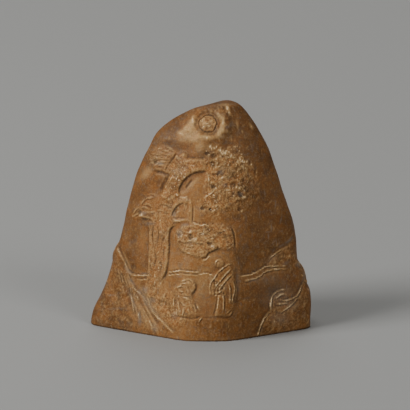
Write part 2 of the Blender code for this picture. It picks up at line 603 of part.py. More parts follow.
# Thinned so that the facets gather where the carving is
thin = stone.modifiers.new("Thin", "DECIMATE")
thin.ratio = FACE_TARGET / (2.0 * COLUMNS * (ROWS - 1))
thin.use_collapse_triangulate = True
bpy.ops.object.modifier_apply(modifier=thin.name)

# The foot sawn level, then the seal face cut
bpy.ops.mesh.primitive_cube_add(size=1.0, location=(0.0, 0.0, -5.0 * MM))
saw = bpy.context.active_object
saw.name = "FOOT_CUTTER"
saw.scale = (2.0 * WIDTH, 3.0 * DEPTH, 10.0 * MM)
bpy.ops.object.transform_apply(location=True, rotation=True, scale=True)
strokes = seal_face()
cut_away(stone, saw)
cut_away(stone, strokes)

gather("Soapstone seal", stone)
gather("Cutters", saw, strokes)
for block in (saw, strokes):
    block.hide_render = True
    block.display_type = "WIRE"

bpy.ops.object.select_all(action="DESELECT")
bpy.context.view_layer.objects.active = stone
stone.select_set(True)
bpy.ops.object.shade_smooth()
stone.data.set_sharp_from_angle(angle=math.radians(40.0))

soapstone = bpy.data.materials.new("Soapstone")
soapstone.use_nodes = True
shader = soapstone.node_tree.nodes["Principled BSDF"]
shader.inputs["Base Color"].default_value = (0.30, 0.155, 0.062, 1.0)
shader.inputs["Roughness"].default_value = 0.5
stone.data.materials.clear()
stone.data.materials.append(soapstone)
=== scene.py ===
import math
import random

import bpy
import numpy as np
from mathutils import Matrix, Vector, kdtree, noise


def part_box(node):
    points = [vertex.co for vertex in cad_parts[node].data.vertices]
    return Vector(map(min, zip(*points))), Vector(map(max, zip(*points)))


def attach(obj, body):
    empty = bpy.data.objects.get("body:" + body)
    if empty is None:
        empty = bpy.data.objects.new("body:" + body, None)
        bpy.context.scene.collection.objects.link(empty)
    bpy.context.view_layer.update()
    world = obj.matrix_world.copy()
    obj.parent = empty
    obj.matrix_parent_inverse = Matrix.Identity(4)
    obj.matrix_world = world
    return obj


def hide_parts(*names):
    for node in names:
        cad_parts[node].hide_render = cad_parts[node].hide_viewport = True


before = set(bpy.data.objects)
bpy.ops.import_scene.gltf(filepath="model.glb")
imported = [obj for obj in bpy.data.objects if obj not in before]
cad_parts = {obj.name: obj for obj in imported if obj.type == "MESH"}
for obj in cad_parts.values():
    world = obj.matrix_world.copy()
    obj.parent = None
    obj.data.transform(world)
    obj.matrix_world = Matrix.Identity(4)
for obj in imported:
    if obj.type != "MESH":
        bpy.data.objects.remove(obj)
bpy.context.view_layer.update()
MM = 0.001


# The camera: a long lens on a tripod in front of the carved face, looking down a little.
# The stone's nearest foot point and its middle line are where the photograph has them.
FRAME_PIXELS = 410
PIXEL = 0.2315 * MM
MIDDLE_PIXEL = 200.75
FOOT_PIXEL = 341.0
LOOK_DOWN = math.radians(15.0)
CAMERA_AWAY = 1.0
SENSOR = 36.0
CLIP_NEAR = 0.05

box_low, box_high = (np.array(corner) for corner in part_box("SEAL_STONE"))
WIDTH, DEPTH, HEIGHT = box_high - box_low
half_frame = FRAME_PIXELS / 2.0
aim_x = (box_low[0] + box_high[0]) / 2.0 + (half_frame - MIDDLE_PIXEL) * PIXEL
aim_z = ((FOOT_PIXEL - half_frame) * PIXEL - DEPTH / 2.0 * math.sin(LOOK_DOWN)) / math.cos(LOOK_DOWN)
away = Vector((0.0, -math.cos(LOOK_DOWN), math.sin(LOOK_DOWN))) * CAMERA_AWAY
bpy.ops.object.camera_add(location=Vector((aim_x, 0.0, aim_z)) + away,
                          rotation=(math.pi / 2.0 - LOOK_DOWN, 0.0, 0.0))
camera = bpy.context.active_object
camera.name = "Tripod camera"
camera.data.sensor_width = SENSOR
camera.data.lens = SENSOR * CAMERA_AWAY / (FRAME_PIXELS * PIXEL)
camera.data.clip_start = CLIP_NEAR
bpy.context.scene.camera = camera


# The studio: a seamless grey sweep of paper, one large soft light from the front left that throws the
# long soft shadow to the back right, a weak one from the front right, and grey light from all round.
SWEEP_FRONT = -0.9
SWEEP_BEND = 0.55
SWEEP_RADIUS = 0.5
SWEEP_HALF = 1.6
SWEEP_TOP = 1.8
SWEEP_STEPS = 24
# The paper is painted darker near the front and lighter towards the back: painted light that evens out how
# the lamps fall off.
GREY_NEAR = (0.276, 0.275, 0.263)
GREY_FAR = (0.332, 0.331, 0.318)
GREY_SPAN = (-0.08, 0.40)
PAPER_ROUGH = 0.9

bpy.ops.mesh.primitive_plane_add(size=1.0)
sweep = bpy.context.active_object
sweep.name = "Paper sweep"
sweep.scale = (2.0 * SWEEP_HALF, SWEEP_BEND - SWEEP_FRONT, 1.0)
sweep.location = (0.0, (SWEEP_BEND + SWEEP_FRONT) / 2.0, 0.0)
bpy.ops.object.transform_apply(location=True, rotation=True, scale=True)
bpy.ops.object.mode_set(mode="EDIT")
bpy.ops.mesh.select_mode(type="EDGE")
bpy.ops.mesh.select_all(action="DESELECT")
bpy.ops.object.mode_set(mode="OBJECT")
for edge in sweep.data.edges:
    ends = [sweep.data.vertices[i].co.y for i in edge.vertices]
    edge.select = min(ends) > SWEEP_BEND - MM
bpy.ops.object.mode_set(mode="EDIT")
moves = []
for step in range(SWEEP_STEPS):
    slope = (step + 0.5) / SWEEP_STEPS * math.pi / 2.0
    length = SWEEP_RADIUS * math.pi / 2.0 / SWEEP_STEPS
    moves.append((0.0, length * math.cos(slope), length * math.sin(slope)))
for move in moves + [(0.0, 0.0, SWEEP_TOP)]:
    bpy.ops.mesh.extrude_region_move(TRANSFORM_OT_translate={"value": move})
bpy.ops.mesh.select_all(action="SELECT")
bpy.ops.mesh.normals_make_consistent(inside=False)
bpy.ops.object.mode_set(mode="OBJECT")
bpy.ops.object.shade_smooth()


class Wire:
    """A node's output socket with the arithmetic that the material is written in."""

    tree = None

    def __init__(self, socket):
        self.socket = socket

    def into(self, socket):
        Wire.tree.links.new(self.socket, socket)

    @classmethod
    def node(cls, kind, out=0, settings=None, **inputs):
        """The output of a new node, whose inputs go by their label or, as _0, by their place."""
        made = cls.tree.nodes.new(kind)
        for key, value in (settings or {}).items():
            setattr(made, key, value)
        for key, value in inputs.items():
            socket = made.inputs[int(key[1:])] if key[0] == "_" else made.inputs[key.replace("_", " ")]
            if isinstance(value, Wire):
                value.into(socket)
            else:
                socket.default_value = value
        return cls(made.outputs[out])

    @classmethod
    def math(cls, operation, first, second):
        return cls.node("ShaderNodeMath", 0, {"operation": operation}, _0=first, _1=second)

    def __add__(self, other):
        return Wire.math("ADD", self, other)

    def __sub__(self, other):
        return Wire.math("SUBTRACT", self, other)

    def __rsub__(self, other):
        return Wire.math("SUBTRACT", other, self)

    def __mul__(self, other):
        return Wire.math("MULTIPLY", self, other)

    __radd__ = __add__
    __rmul__ = __mul__

    def between(self, low_end, high_end):
        """0 at the low end, 1 at the high end, held there beyond them."""
        return Wire.node("ShaderNodeMapRange", 0, {"clamp": True}, Value=self, From_Min=low_end,
                         From_Max=high_end)


def mix(share, first, second):
    """One colour turning into another."""
    first, second = (colour if isinstance(colour, Wire) else (*colour, 1.0) for colour in (first, second))
    return Wire.node("ShaderNodeMix", 2, {"data_type": "RGBA"}, Factor=share, _6=first, _7=second)


paper = bpy.data.materials.new("Grey paper")
paper.use_nodes = True
Wire.tree = paper.node_tree
paper_shader = Wire.tree.nodes["Principled BSDF"]
paper_place = Wire.node("ShaderNodeTexCoord", "Object")
paper_depth = Wire.node("ShaderNodeSeparateXYZ", "Y", _0=paper_place)
mix(paper_depth.between(*GREY_SPAN), GREY_NEAR, GREY_FAR).into(paper_shader.inputs["Base Color"])
paper_shader.inputs["Roughness"].default_value = PAPER_ROUGH
sweep.data.materials.append(paper)

# Name, turn to the left of the camera and rise in degrees, distance and size in metres, watts.
LIGHTS = (
    ("Key soft box", 65.0, 37.0, 0.9, 0.36, 7.9),
    ("Fill soft box", -45.0, 34.0, 1.0, 0.36, 2.9),
    ("Ceiling soft box", 180.0, 56.0, 1.2, 1.0, 5.6),
)
ROUND_LIGHT = 0.14
ROUND_COLOUR = (0.97, 0.985, 1.0, 1.0)

stone_middle = Vector((0.0, 0.0, HEIGHT / 2.0))
for name, turn, rise, distance, size, watts in LIGHTS:
    turn, rise = math.radians(turn), math.radians(rise)
    level = Vector((-math.sin(turn), -math.cos(turn), 0.0)) * math.cos(rise)
    spot = (level + Vector((0.0, 0.0, math.sin(rise)))) * distance + stone_middle
    look = (stone_middle - spot).to_track_quat("-Z", "Y").to_euler()
    bpy.ops.object.light_add(type="AREA", location=spot, rotation=look)
    lamp = bpy.context.active_object
    lamp.name = name
    lamp.data.shape = "SQUARE"
    lamp.data.size = size
    lamp.data.energy = watts
world = bpy.data.worlds.new("Grey room")
world.use_nodes = True
world.node_tree.nodes["Background"].inputs["Color"].default_value = ROUND_COLOUR
world.node_tree.nodes["Background"].inputs["Strength"].default_value = ROUND_LIGHT
bpy.context.scene.world = world


# The stone itself: a river boulder of soapstone, sawn flat below and rubbed smooth, a little flattened
# in front and behind. Its form is the solid's own, on a finer net that can carry the carving.
PROFILE = (
    (0.000, -0.500, 0.497, -0.500, 0.500),
    (0.060, -0.487, 0.498, -0.500, 0.500),
    (0.140, -0.449, 0.498, -0.495, 0.495),
    (0.180, -0.431, 0.483, -0.488, 0.491),
    (0.230, -0.414, 0.474, -0.478, 0.484),
    (0.280, -0.402, 0.444, -0.465, 0.475),
    (0.320, -0.397, 0.436, -0.450, 0.466),
    (0.400, -0.361, 0.430, -0.420, 0.450),
    (0.500, -0.338, 0.406, -0.370, 0.425),
    (0.600, -0.314, 0.370, -0.315, 0.395),
    (0.700, -0.280, 0.336, -0.255, 0.365),
    (0.790, -0.235, 0.304, -0.190, 0.330),
    (0.865, -0.191, 0.264, -0.125, 0.290),
    (0.915, -0.128, 0.232, -0.080, 0.255),
    (0.955, -0.052, 0.202, -0.036, 0.215),
    (0.985, 0.046, 0.168, 0.010, 0.165),
    (1.000, 0.120, 0.120, 0.085, 0.085),
)
FLATS = (
    (-121, 0.945, 0.97),
    (-91, 0.96, 0.95),
    (-61, 1.07, 1.06),
    (3, 1.83, 1.50),
    (58, 1.46, 1.16),
    (92, 1.00, 0.95),
    (132, 1.48, 1.16),
    (180, 1.81, 1.60),
)
CORNER_FOOT = 26.0
CORNER_TOP = 6.0
COLUMNS = 400
ROWS = 248
FOOT_RINGS = 4
FOOT_INSET = 0.965
BACK_SPARING = 0.30
FOOT_ROUND = 0.16 * MM
WAVES = ((20.3 * MM, 0.4), (13.4 * MM, 2.1), (7.6 * MM, 4.4))
UNEVEN = 0.036 * MM
HEADINGS = 7201
ROUND_STEPS = 721
SIDE_STEPS = 4000
COLUMN_LEVEL = 0.2
BACK_START = 0.25
MERGE = 1e-5
ALMOST = 1.000001


def spline(rows, at):
    """A smooth curve through the rows; the end rows are mirrored so that the top closes round."""
    after = rows[-2].copy()
    after[1:] = 2.0 * rows[-1][1:] - rows[-2][1:]
    before = 2.0 * rows[0] - rows[1]
    points = np.vstack([before, rows, after])
    step = np.clip(at.astype(int), 0, len(rows) - 2)
    part = (at - step)[:, None]
    p0, p1, p2, p3 = points[step], points[step + 1], points[step + 2], points[step + 3]
    bend = (2.0 * p0 - 5.0 * p1 + 4.0 * p2 - p3) * part ** 2 + (3.0 * p1 - p0 - 3.0 * p2 + p3) * part ** 3
    return 0.5 * (2.0 * p1 + (p2 - p0) * part + bend)


def outline(angle, share):
    """The footprint's shape at a share of the height, with x and y left at their own scale."""
    crisp = CORNER_FOOT + (CORNER_TOP - CORNER_FOOT) * share
    total = np.zeros_like(angle)
    for heading, at_foot, at_top in FLATS:
        distance = at_foot + (at_top - at_foot) * share
        total += np.maximum(0.0, np.cos(angle - math.radians(heading)) / distance) ** crisp
    reach = total ** (-1.0 / crisp)
    return reach * np.cos(angle), reach * np.sin(angle)


def column_angles(count):
    """The heading of each column, evenly stepped along the foot's outline with fewer on the plain back."""
    angle = np.linspace(-math.pi, math.pi, HEADINGS)
    x, y = outline(angle, COLUMN_LEVEL)
    weight = np.where(y[1:] < BACK_START, 1.0, BACK_SPARING)
    way = np.concatenate([[0.0], np.cumsum(np.hypot(np.diff(x), np.diff(y)) * weight)])
    return np.interp(np.arange(count) / count * way[-1], way, angle)


def side_rows(count):
    """Height, left, right, front and back of each ring of the side, evenly stepped along the stone's skin."""
    rows = np.array(PROFILE) * np.array([HEIGHT, WIDTH, WIDTH, DEPTH, DEPTH])
    at = np.linspace(0.0, len(rows) - ALMOST, SIDE_STEPS)
    fine = spline(rows, at)
    way = np.concatenate([[0.0], np.cumsum(np.abs(np.diff(fine, axis=0)).max(axis=1))])
    return spline(rows, np.interp(np.linspace(0.0, way[-1], count), way, at))


bpy.ops.mesh.primitive_grid_add(x_subdivisions=COLUMNS, y_subdivisions=ROWS, size=2.0, calc_uvs=False)
stone = bpy.context.active_object
stone.name = "Carved_stone"
flat = np.empty(len(stone.data.vertices) * 3)
stone.data.vertices.foreach_get("co", flat)
east = flat[0::3] * math.pi
north = flat[1::3] * math.pi / 2.0
ball = np.stack([np.cos(east) * np.cos(north), np.sin(east) * np.cos(north), np.sin(north)], axis=1)
stone.data.vertices.foreach_set("co", ball.ravel())
bpy.ops.object.mode_set(mode="EDIT")
bpy.ops.mesh.select_all(action="SELECT")
bpy.ops.mesh.remove_doubles(threshold=MERGE)
bpy.ops.mesh.normals_make_consistent(inside=False)
bpy.ops.object.mode_set(mode="OBJECT")
count = len(stone.data.vertices)
flat = np.empty(count * 3)
stone.data.vertices.foreach_get("co", flat)
ball = flat.reshape(-1, 3)
ring = np.rint(np.arccos(np.clip(-ball[:, 2], -1.0, 1.0)) / math.pi * ROWS).astype(int)
column = np.rint((np.arctan2(ball[:, 1], ball[:, 0]) / (2.0 * math.pi) + 0.5) * COLUMNS).astype(int) % COLUMNS
angle = column_angles(COLUMNS)[column]
rows = side_rows(ROWS + 1 - FOOT_RINGS)
place = np.zeros((count, 3))
for index in range(ROWS + 1):
    mine = ring == index
    height, left, right, front, back = rows[max(0, index - FOOT_RINGS)]
    x, y = outline(angle[mine], height / HEIGHT)
    all_x, all_y = outline(np.linspace(-math.pi, math.pi, ROUND_STEPS), height / HEIGHT)
    x = left + (right - left) * (x - all_x.min()) / (all_x.max() - all_x.min())
    y = front + (back - front) * (y - all_y.min()) / (all_y.max() - all_y.min())
    if index < FOOT_RINGS:
        x = x * FOOT_INSET * index / (FOOT_RINGS - 1)
        y = y * FOOT_INSET * index / (FOOT_RINGS - 1)
    place[mine] = np.stack([x, y, np.full(mine.sum(), height)], axis=1)
stone.data.vertices.foreach_set("co", place.ravel())
stone.data.update()
stone.data.vertices.foreach_get("normal", flat)
normal = flat.reshape(-1, 3).copy()
skin = kdtree.KDTree(count)
for index, point in enumerate(place):
    skin.insert(point, index)
skin.balance()


# The carver's tools. The carving is drawn on a sheet stretched over the stone's width and pictured height,
# in mm of the real stone, and each stroke is cut square to the skin: shapes stand, the ground is cut back.
SHEET_WIDE = 51.4
SHEET_HIGH = 55.5
BACK_SHEET_HIGH = 53.1
RELIEF = 0.22 * MM
LINE_DEEP = 0.24 * MM
LINE_WIDE = 0.62 * MM
FINE_DEEP = 0.14 * MM
FINE_WIDE = 0.46 * MM
BOLD_DEEP = 0.32 * MM
BOLD_WIDE = 0.62 * MM
RIDGE_HIGH = 0.15 * MM
RIDGE_WIDE = 0.36 * MM
NEAR_REACH = 1.6 * MM
FAR_REACH = 3.4 * MM
EDGE_SOFT = 0.12 * MM
SHOULDER = 0.4 * MM
RUN_OUT = 0.7 * MM
FOOT_PLAIN = 1.8 * MM
WOBBLE = 0.11 * MM
WOBBLE_SCALES = (1000.0, 2200.0)
BROKEN_SCALE = 620.0
# How far a vertex has to turn to the viewer to be drawn on, to be placed on its slope, to be cut at all.
SEEN = 0.03
GRAZING = 0.25
TURNED_AWAY = -0.35
WOBBLE_START = 0.3 * MM
# The narrow cut beside a ridge, in shares of the ridge's width and height, and how dark it is drawn with dirt
# and painted shade.
RIDGE_REACH = 1.4
BESIDE_AT = 0.85
BESIDE_HALF = 0.5
BESIDE_DEEP = 1.1
BESIDE_DARKNESS = 0.85
MASS_REACH = 2.5
FLECK_CUT_SHARE = 0.55
FLECK_WIDE = 0.42 * MM
FLECK_RIDGE_WIDE = 0.40 * MM
NEEDLE_WIDE = 0.34 * MM
NEEDLE_HIGH = 0.06 * MM
TURN_SPREAD = 50.0


def held(values):
    """The values kept between 0 and 1."""
    return np.clip(values, 0.0, 1.0)


def rough(scale):
    """Smooth noise at every vertex, with features about 1 / scale m wide."""
    return np.array([noise.noise(Vector(point) * scale) for point in place])


def stronger(layer, index, values):
    """Takes the larger of what a layer holds at these vertices and the new values."""
    layer[index] = np.maximum(layer[index], values)


def fade(ends):
    """The share of a stroke's depth, less near its ends where the point lifts out of the stone."""
    return held(0.25 + ends / RUN_OUT)


def blurred(values, reach):
    """The mean of values over the net within reach rings and columns of each vertex."""
    net = np.zeros((ROWS + 1, COLUMNS))
    net[ring, column] = values
    net[0, :] = values[ring == 0].mean()
    net[ROWS, :] = values[ring == ROWS].mean()
    total = sum(np.roll(net, shift, axis=1) for shift in range(-reach, reach + 1)) / (2 * reach + 1)
    padded = np.pad(total, ((reach, reach), (0, 0)), mode="edge")
    total = sum(padded[shift:shift + ROWS + 1] for shift in range(2 * reach + 1)) / (2 * reach + 1)
    return total[ring, column]


class Carving:
    """The relief over the smooth stone and the marks on it, built up stroke by stroke."""

    def __init__(self):
        self.raised, self.cut, self.rubbed, self.grime_and_shade, self.pecked = np.zeros((5, count))
        self.pale, self.stain, self.dust, self.red = np.zeros((4, count))
        self.wobble = WOBBLE * (rough(WOBBLE_SCALES[0]) + rough(WOBBLE_SCALES[1]))
        self.broken = np.clip(0.75 + 1.1 * rough(BROKEN_SCALE), 0.25, 1.0)
        self.face("front")

    def face(self, side):
        """Chooses the drawing: the front seen from a little above, or the back seen level."""
        if side == "front":
            self.right = np.array([1.0, 0.0, 0.0])
            self.up = np.array([0.0, math.sin(LOOK_DOWN), math.cos(LOOK_DOWN)])
            base, sheet_high = -DEPTH / 2.0 * math.sin(LOOK_DOWN), SHEET_HIGH
        else:
            self.right = np.array([-1.0, 0.0, 0.0])
            self.up = np.array([0.0, 0.0, 1.0])
            base, sheet_high = 0.0, BACK_SHEET_HIGH
        self.toward = np.cross(self.right, self.up)
        self.facing = normal @ self.toward
        self.across = place @ self.right
        self.along = place @ self.up - base
        self.unit = np.array([WIDTH / SHEET_WIDE, self.along.max() / sheet_high])
        self.u = self.across / self.unit[0]
        self.w = self.along / self.unit[1]
        self.seen = np.where(self.facing > SEEN)[0]

    def on_stone(self, points):
        """The places on the smooth stone that lie behind points of the drawing."""
        found = []
        for u, w in np.array(points) * self.unit:
            gap = (u - self.across[self.seen]) ** 2 + (w - self.along[self.seen]) ** 2
            near = self.seen[np.argmin(gap)]
            step = (u - self.across[near]) * self.right + (w - self.along[near]) * self.up
            if self.facing[near] > GRAZING:
                step = step - self.toward * (normal[near] @ step) / self.facing[near]
                found.append(place[near] + step)
            else:
                found.append(place[near])
        return np.array(found)

    def trace(self, points):
        """A smooth path over the stone through points of the drawing."""
        rows = np.array(points, dtype=float)
        if len(rows) == 2:
            return self.on_stone([rows[0], (rows[0] + rows[1]) / 2.0, rows[1]])
        rows = np.hstack([np.arange(len(rows))[:, None], rows])
        curve = spline(rows, np.linspace(0.0, len(rows) - ALMOST, 3 * len(rows) - 2))
        return self.on_stone(curve[:, 1:])

    def near(self, path, reach):
        """Vertices near a path: index, distance, side (+ left of its run), distance from its ends."""
        found = set()
        for a, b in zip(path[:-1], path[1:]):
            hits = skin.find_range((a + b) / 2.0, reach + np.linalg.norm(b - a) / 2.0)
            found.update(hit[1] for hit in hits)
        index = np.array(sorted(found), dtype=int)
        index = index[self.facing[index] > TURNED_AWAY]
        best = np.full(len(index), np.inf)
        side = np.zeros(len(index))
        along = np.zeros(len(index))
        start = 0.0
        for a, b in zip(path[:-1], path[1:]):
            line = b - a
            length = max(np.linalg.norm(line), 1e-9)
            off = place[index] - a
            share = held(off @ line / length ** 2)
            gap = off - share[:, None] * line
            distance = np.linalg.norm(gap, axis=1)
            closer = distance < best
            best = np.where(closer, distance, best)
            turn = np.einsum("ij,ij->i", np.cross(line / length, gap), normal[index])
            side = np.where(closer, turn, side)
            along = np.where(closer, start + share * length, along)
            start += length
        keep = best < reach
        best = np.maximum(best + self.wobble[index] * np.minimum(1.0, best / WOBBLE_START), 0.0)
        ends = np.minimum(along, start - along)
        return index[keep], best[keep], side[keep], ends[keep]

    def line(self, points, wide=LINE_WIDE, deep=LINE_DEEP, darkness=0.6):
        """A cut with sloping sides that runs out at both ends, dark in its bottom with dirt and painted
        shade.
        """
        index, distance, _, ends = self.near(self.trace(points), wide / 2.0)
        share = held(1.0 - (distance / (wide / 2.0)) ** 1.5) * fade(ends)
        stronger(self.cut, index, deep * share)
        stronger(self.grime_and_shade, index, darkness * share)

    def ridge(self, points, hand=0, wide=RIDGE_WIDE, high=RIDGE_HIGH, rub=0.8):
        """A thin line left standing, rubbed pale, with a narrow cut along one side (+1 left of its run)."""
        index, distance, side, ends = self.near(self.trace(points), RIDGE_REACH * wide)
        share = held(1.0 - (distance / (wide / 2.0)) ** 2) * fade(ends) * self.broken[index]
        self.raised[index] += high * share
        stronger(self.rubbed, index, rub * share)
        beside = held(1.0 - np.abs(distance - BESIDE_AT * wide) / (BESIDE_HALF * wide))
        beside = beside * fade(ends) * (side * hand > 0.0)
        stronger(self.cut, index, BESIDE_DEEP * high * beside)
        stronger(self.grime_and_shade, index, BESIDE_DARKNESS * beside)

    def lines(self, paths, *how):
        """Cuts of one kind."""
        for points in paths:
            self.line(points, *how)

    def ridges(self, paths, *how):
        """Ridges of one kind."""
        for points in paths:
            self.ridge(points, *how)

    def shelf(self, points, hand, drop=RELIEF, reach=NEAR_REACH):
        """The ground cut back on one side of a line (+1 left of its run), rising again further off."""
        index, distance, side, ends = self.near(self.trace(points), reach)
        slow = held(0.2 + 0.5 * ends / RUN_OUT)
        cut = drop * held(1.0 - distance / reach) ** 1.6 * slow
        lip = drop * held(1.0 - distance / EDGE_SOFT) * slow
        stronger(self.cut, index, np.where(side * hand > 0.0, cut, lip))

    def inside(self, points):
        """Which vertices lie inside a closed shape of the drawing."""
        loop = np.array(points + points[:1], dtype=float)
        found = np.zeros(count, dtype=bool)
        for (u0, w0), (u1, w1) in zip(loop[:-1], loop[1:]):
            crosses = (w0 > self.w) != (w1 > self.w)
            meet = (u1 - u0) * (self.w - w0) / (w1 - w0 if w1 != w0 else 1e-9) + u0
            found ^= crosses & (self.u < meet)
        return found & (self.facing > 0.0)

    def mass(self, points, high=RELIEF, soft=SHOULDER, peck=0.0):
        """A closed shape raised above the ground with a rounded shoulder, pecked all over or left smooth."""
        loop = self.on_stone(points + points[:1])
        index, distance, _, _ = self.near(loop, MASS_REACH * soft)
        depth = np.full(count, MASS_REACH * soft)
        depth[index] = distance
        within = self.inside(points)
        lift = np.where(within, high * held(depth / soft) ** 0.5, 0.0)
        self.raised = np.maximum(self.raised, lift)
        self.pecked = np.maximum(self.pecked, np.where(within, peck, 0.0))

    def pit(self, u, w, radius, deep=LINE_DEEP, darkness=0.8):
        """A drilled or pecked hollow, dark inside with dirt and painted shade."""
        hits = skin.find_range(self.on_stone(((u, w),))[0], radius)
        index = np.array([hit[1] for hit in hits], dtype=int)
        distance = np.array([hit[2] for hit in hits])
        distance = np.maximum(distance + 2.0 * self.wobble[index], 0.0)
        share = held(1.2 * (1.0 - (distance / radius) ** 2))
        stronger(self.cut, index, deep * share)
        stronger(self.grime_and_shade, index, darkness * share)

    def blob(self, layer, u, w, wide, high, strength, lean=0.0):
        """A soft patch of colour, an ellipse with its long side turned by lean degrees."""
        turn = math.radians(lean)
        du = self.u - u
        dw = self.w - w
        a = (du * math.cos(turn) + dw * math.sin(turn)) / wide
        b = (dw * math.cos(turn) - du * math.sin(turn)) / high
        value = strength * np.exp(-1.2 * (a * a + b * b) ** 1.3) * (self.facing > 0.0)
        layer[:] = np.maximum(layer, value)

    def blobs(self, layer, marks):
        """Soft patches from a table: place, half width and height, strength, and lean where they have one."""
        for mark in marks:
            self.blob(layer, *mark)

    def patch(self, layer, points, strength, soft=1):
        """A patch of colour with a shape of its own and an edge a little broken."""
        shape = blurred(1.0 * self.inside(points), soft)
        layer[:] = np.maximum(layer, strength * held(shape * (0.6 + 0.6 * self.broken)))

    def off(self, centre):
        """Each vertex's distance from a point of the drawing."""
        return np.linalg.norm(place - self.on_stone((centre,))[0], axis=1)

    def rim(self, centre, radius, inside, outside, high):
        """A soft raised ring, steeper within than without and a little uneven all round."""
        distance = self.off(centre) + 2.5 * self.wobble
        spread = np.where(distance < radius, inside, outside)
        below_top = held((self.along.max() - self.along) / outside - 0.4)
        swell = np.exp(-((distance - radius) / spread) ** 2)
        self.raised += high * (0.3 + 0.7 * self.broken) * swell * below_top

    def dome(self, centre, radius, high):
        """A raised round, highest in the middle."""
        distance = self.off(centre)
        lift = high * np.sqrt(held(1.0 - (distance / radius) ** 2))
        self.raised = np.maximum(self.raised, lift)

    def ring(self, centre, radius, wide, deep, darkness=0.5):
        """A circular cut by a hand that is not quite steady, dark in its bottom with dirt and painted shade.
        """
        distance = self.off(centre) + 1.6 * self.wobble
        share = held(1.0 - (np.abs(distance - radius) / (wide / 2.0)) ** 1.5)
        self.cut = np.maximum(self.cut, deep * share)
        self.grime_and_shade = np.maximum(self.grime_and_shade, darkness * share)

    def fan(self, centre, first, last, needles, inner, outer, chance, squash=1.0):
        """A fan of pine needles: fine ridges that leave the middle at even turns, each a little different."""
        for index in range(needles):
            turn = math.radians(first + (last - first) * (index + chance.uniform(-0.2, 0.2)) / (needles - 1))
            start = inner * chance.uniform(0.8, 1.3)
            end = outer * chance.uniform(0.85, 1.05)
            bow = 0.12 * chance.uniform(-1.0, 1.0)
            points = []
            for reach, bend in ((start, 0.0), ((start + end) / 2.0, bow), (end, 0.0)):
                points.append((centre[0] + reach * math.cos(turn + bend),
                               centre[1] + squash * reach * math.sin(turn + bend)))
            self.ridge(points, 0, NEEDLE_WIDE, NEEDLE_HIGH, 0.35)

    def flecks(self, points, number, chance, small=0.25, large=0.9, lean=60.0, deep=0.10 * MM):
        """Short pecked strokes scattered in a closed shape, some cut and some left standing and rubbed."""
        within = np.where(self.inside(points))[0]
        for _ in range(number):
            at = within[chance.randrange(len(within))]
            turn = math.radians(lean + chance.uniform(-TURN_SPREAD, TURN_SPREAD))
            reach = chance.uniform(small, large)
            u = self.u[at]
            w = self.w[at]
            path = [(u, w), (u + reach * math.cos(turn), w + reach * math.sin(turn))]
            if chance.random() < FLECK_CUT_SHARE:
                self.line(path, FLECK_WIDE, deep * chance.uniform(0.6, 1.4), 0.5)
            else:
                self.ridge(path, 0, FLECK_RIDGE_WIDE, 0.8 * deep, chance.uniform(0.4, 1.0))

    def nicks(self, points, number, chance, most=0.7, lean=80.0):
        """Small pale scuffs and knocks scattered inside a closed shape."""
        within = np.where(self.inside(points))[0]
        for _ in range(number):
            at = within[chance.randrange(len(within))]
            self.blob(self.rubbed, self.u[at], self.w[at], chance.uniform(0.16, 0.55),
                      chance.uniform(0.12, 0.22), most * chance.uniform(0.3, 1.0),
                      lean + chance.uniform(-TURN_SPREAD, TURN_SPREAD))


work = Carving()
chance = random.Random(3)


# The sun over the pine: a low disc left rough by the point, in a ring sunk into a pale patch with a crescent
# on its right, both partly paler stone and partly painted highlight, with painted highlight in glow patches
# and streaks and a band of painted shade right of the crescent. The sky round it is rubbed smooth.
SUN_CENTRE = (1.6, 50.1)
SUN_RADIUS = 2.1 * MM
SUN_HALO = 2.7 * MM
SUN_RIM = 3.8 * MM
SUN_RIM_HIGH = 0.40 * MM
SUN_RIM_INSIDE = 0.9 * MM
SUN_RIM_OUTSIDE = 1.9 * MM
SUN_DOTS = 46
SUN_DOTS_REACH = 1.6
SUN_PALE_AND_HIGHLIGHT = (
    (-1.5, 51.5), (-2.2, 51.2), (-2.7, 50.4), (-3.8, 49.0), (-5.4, 47.9), (-4.0, 46.9), (-2.2, 46.4),
    (-0.6, 45.6), (0.6, 46.2), (1.4, 46.9), (3.6, 47.1), (2.0, 47.6), (0.4, 47.7), (-0.6, 48.4),
    (-1.1, 49.4), (-1.2, 50.4),
)
SUN_CRESCENT = (
    (3.5, 52.8), (4.9, 51.6), (5.6, 50.0), (5.3, 48.4), (4.2, 47.0), (3.5, 47.6), (4.3, 48.9), (4.6, 50.4),
    (3.7, 52.0),
)
SUN_HIGHLIGHT_PATCHES = (
    (-1.8, 50.2, 0.4, 1.4, 1.0), (-4.4, 47.9, 0.9, 0.4, 1.0, -20.0), (0.6, 50.4, 0.7, 1.2, 0.9),
    (2.4, 50.2, 0.9, 0.9, 0.4), (-0.4, 45.0, 1.4, 1.6, 0.6), (-1.6, 46.6, 1.8, 0.9, 0.9),
    (4.4, 47.1, 1.0, 0.5, 0.5), (-3.4, 46.6, 2.2, 0.8, 0.5),
)
SUN_HIGHLIGHT_STREAKS = (
    (-1.75, 50.4, 0.2, 1.3, 1.0), (-4.6, 47.8, 0.8, 0.25, 1.0, -20.0), (-3.4, 48.6, 0.3, 0.2, 0.9),
    (-2.2, 48.2, 0.3, 0.2, 0.8, 40.0), (5.1, 50.4, 0.3, 1.4, 0.9, -6.0), (4.9, 48.5, 0.3, 0.8, 0.7, 25.0),
    (-0.2, 46.9, 1.0, 0.2, 0.6, -15.0), (1.4, 46.5, 0.2, 0.5, 0.7),
)
SUN_BEHIND = ((6.0, 52.6), (6.9, 51.0), (7.0, 49.4), (6.5, 47.8))
SUN_RED = (
    (-0.9, 50.2, 0.5, 2.4, 0.9), (0.6, 47.9, 2.2, 0.6, 0.9, 20.0), (-0.2, 52.4, 1.4, 0.4, 0.6, 40.0),
    (3.4, 50.0, 0.4, 1.6, 0.5),
)

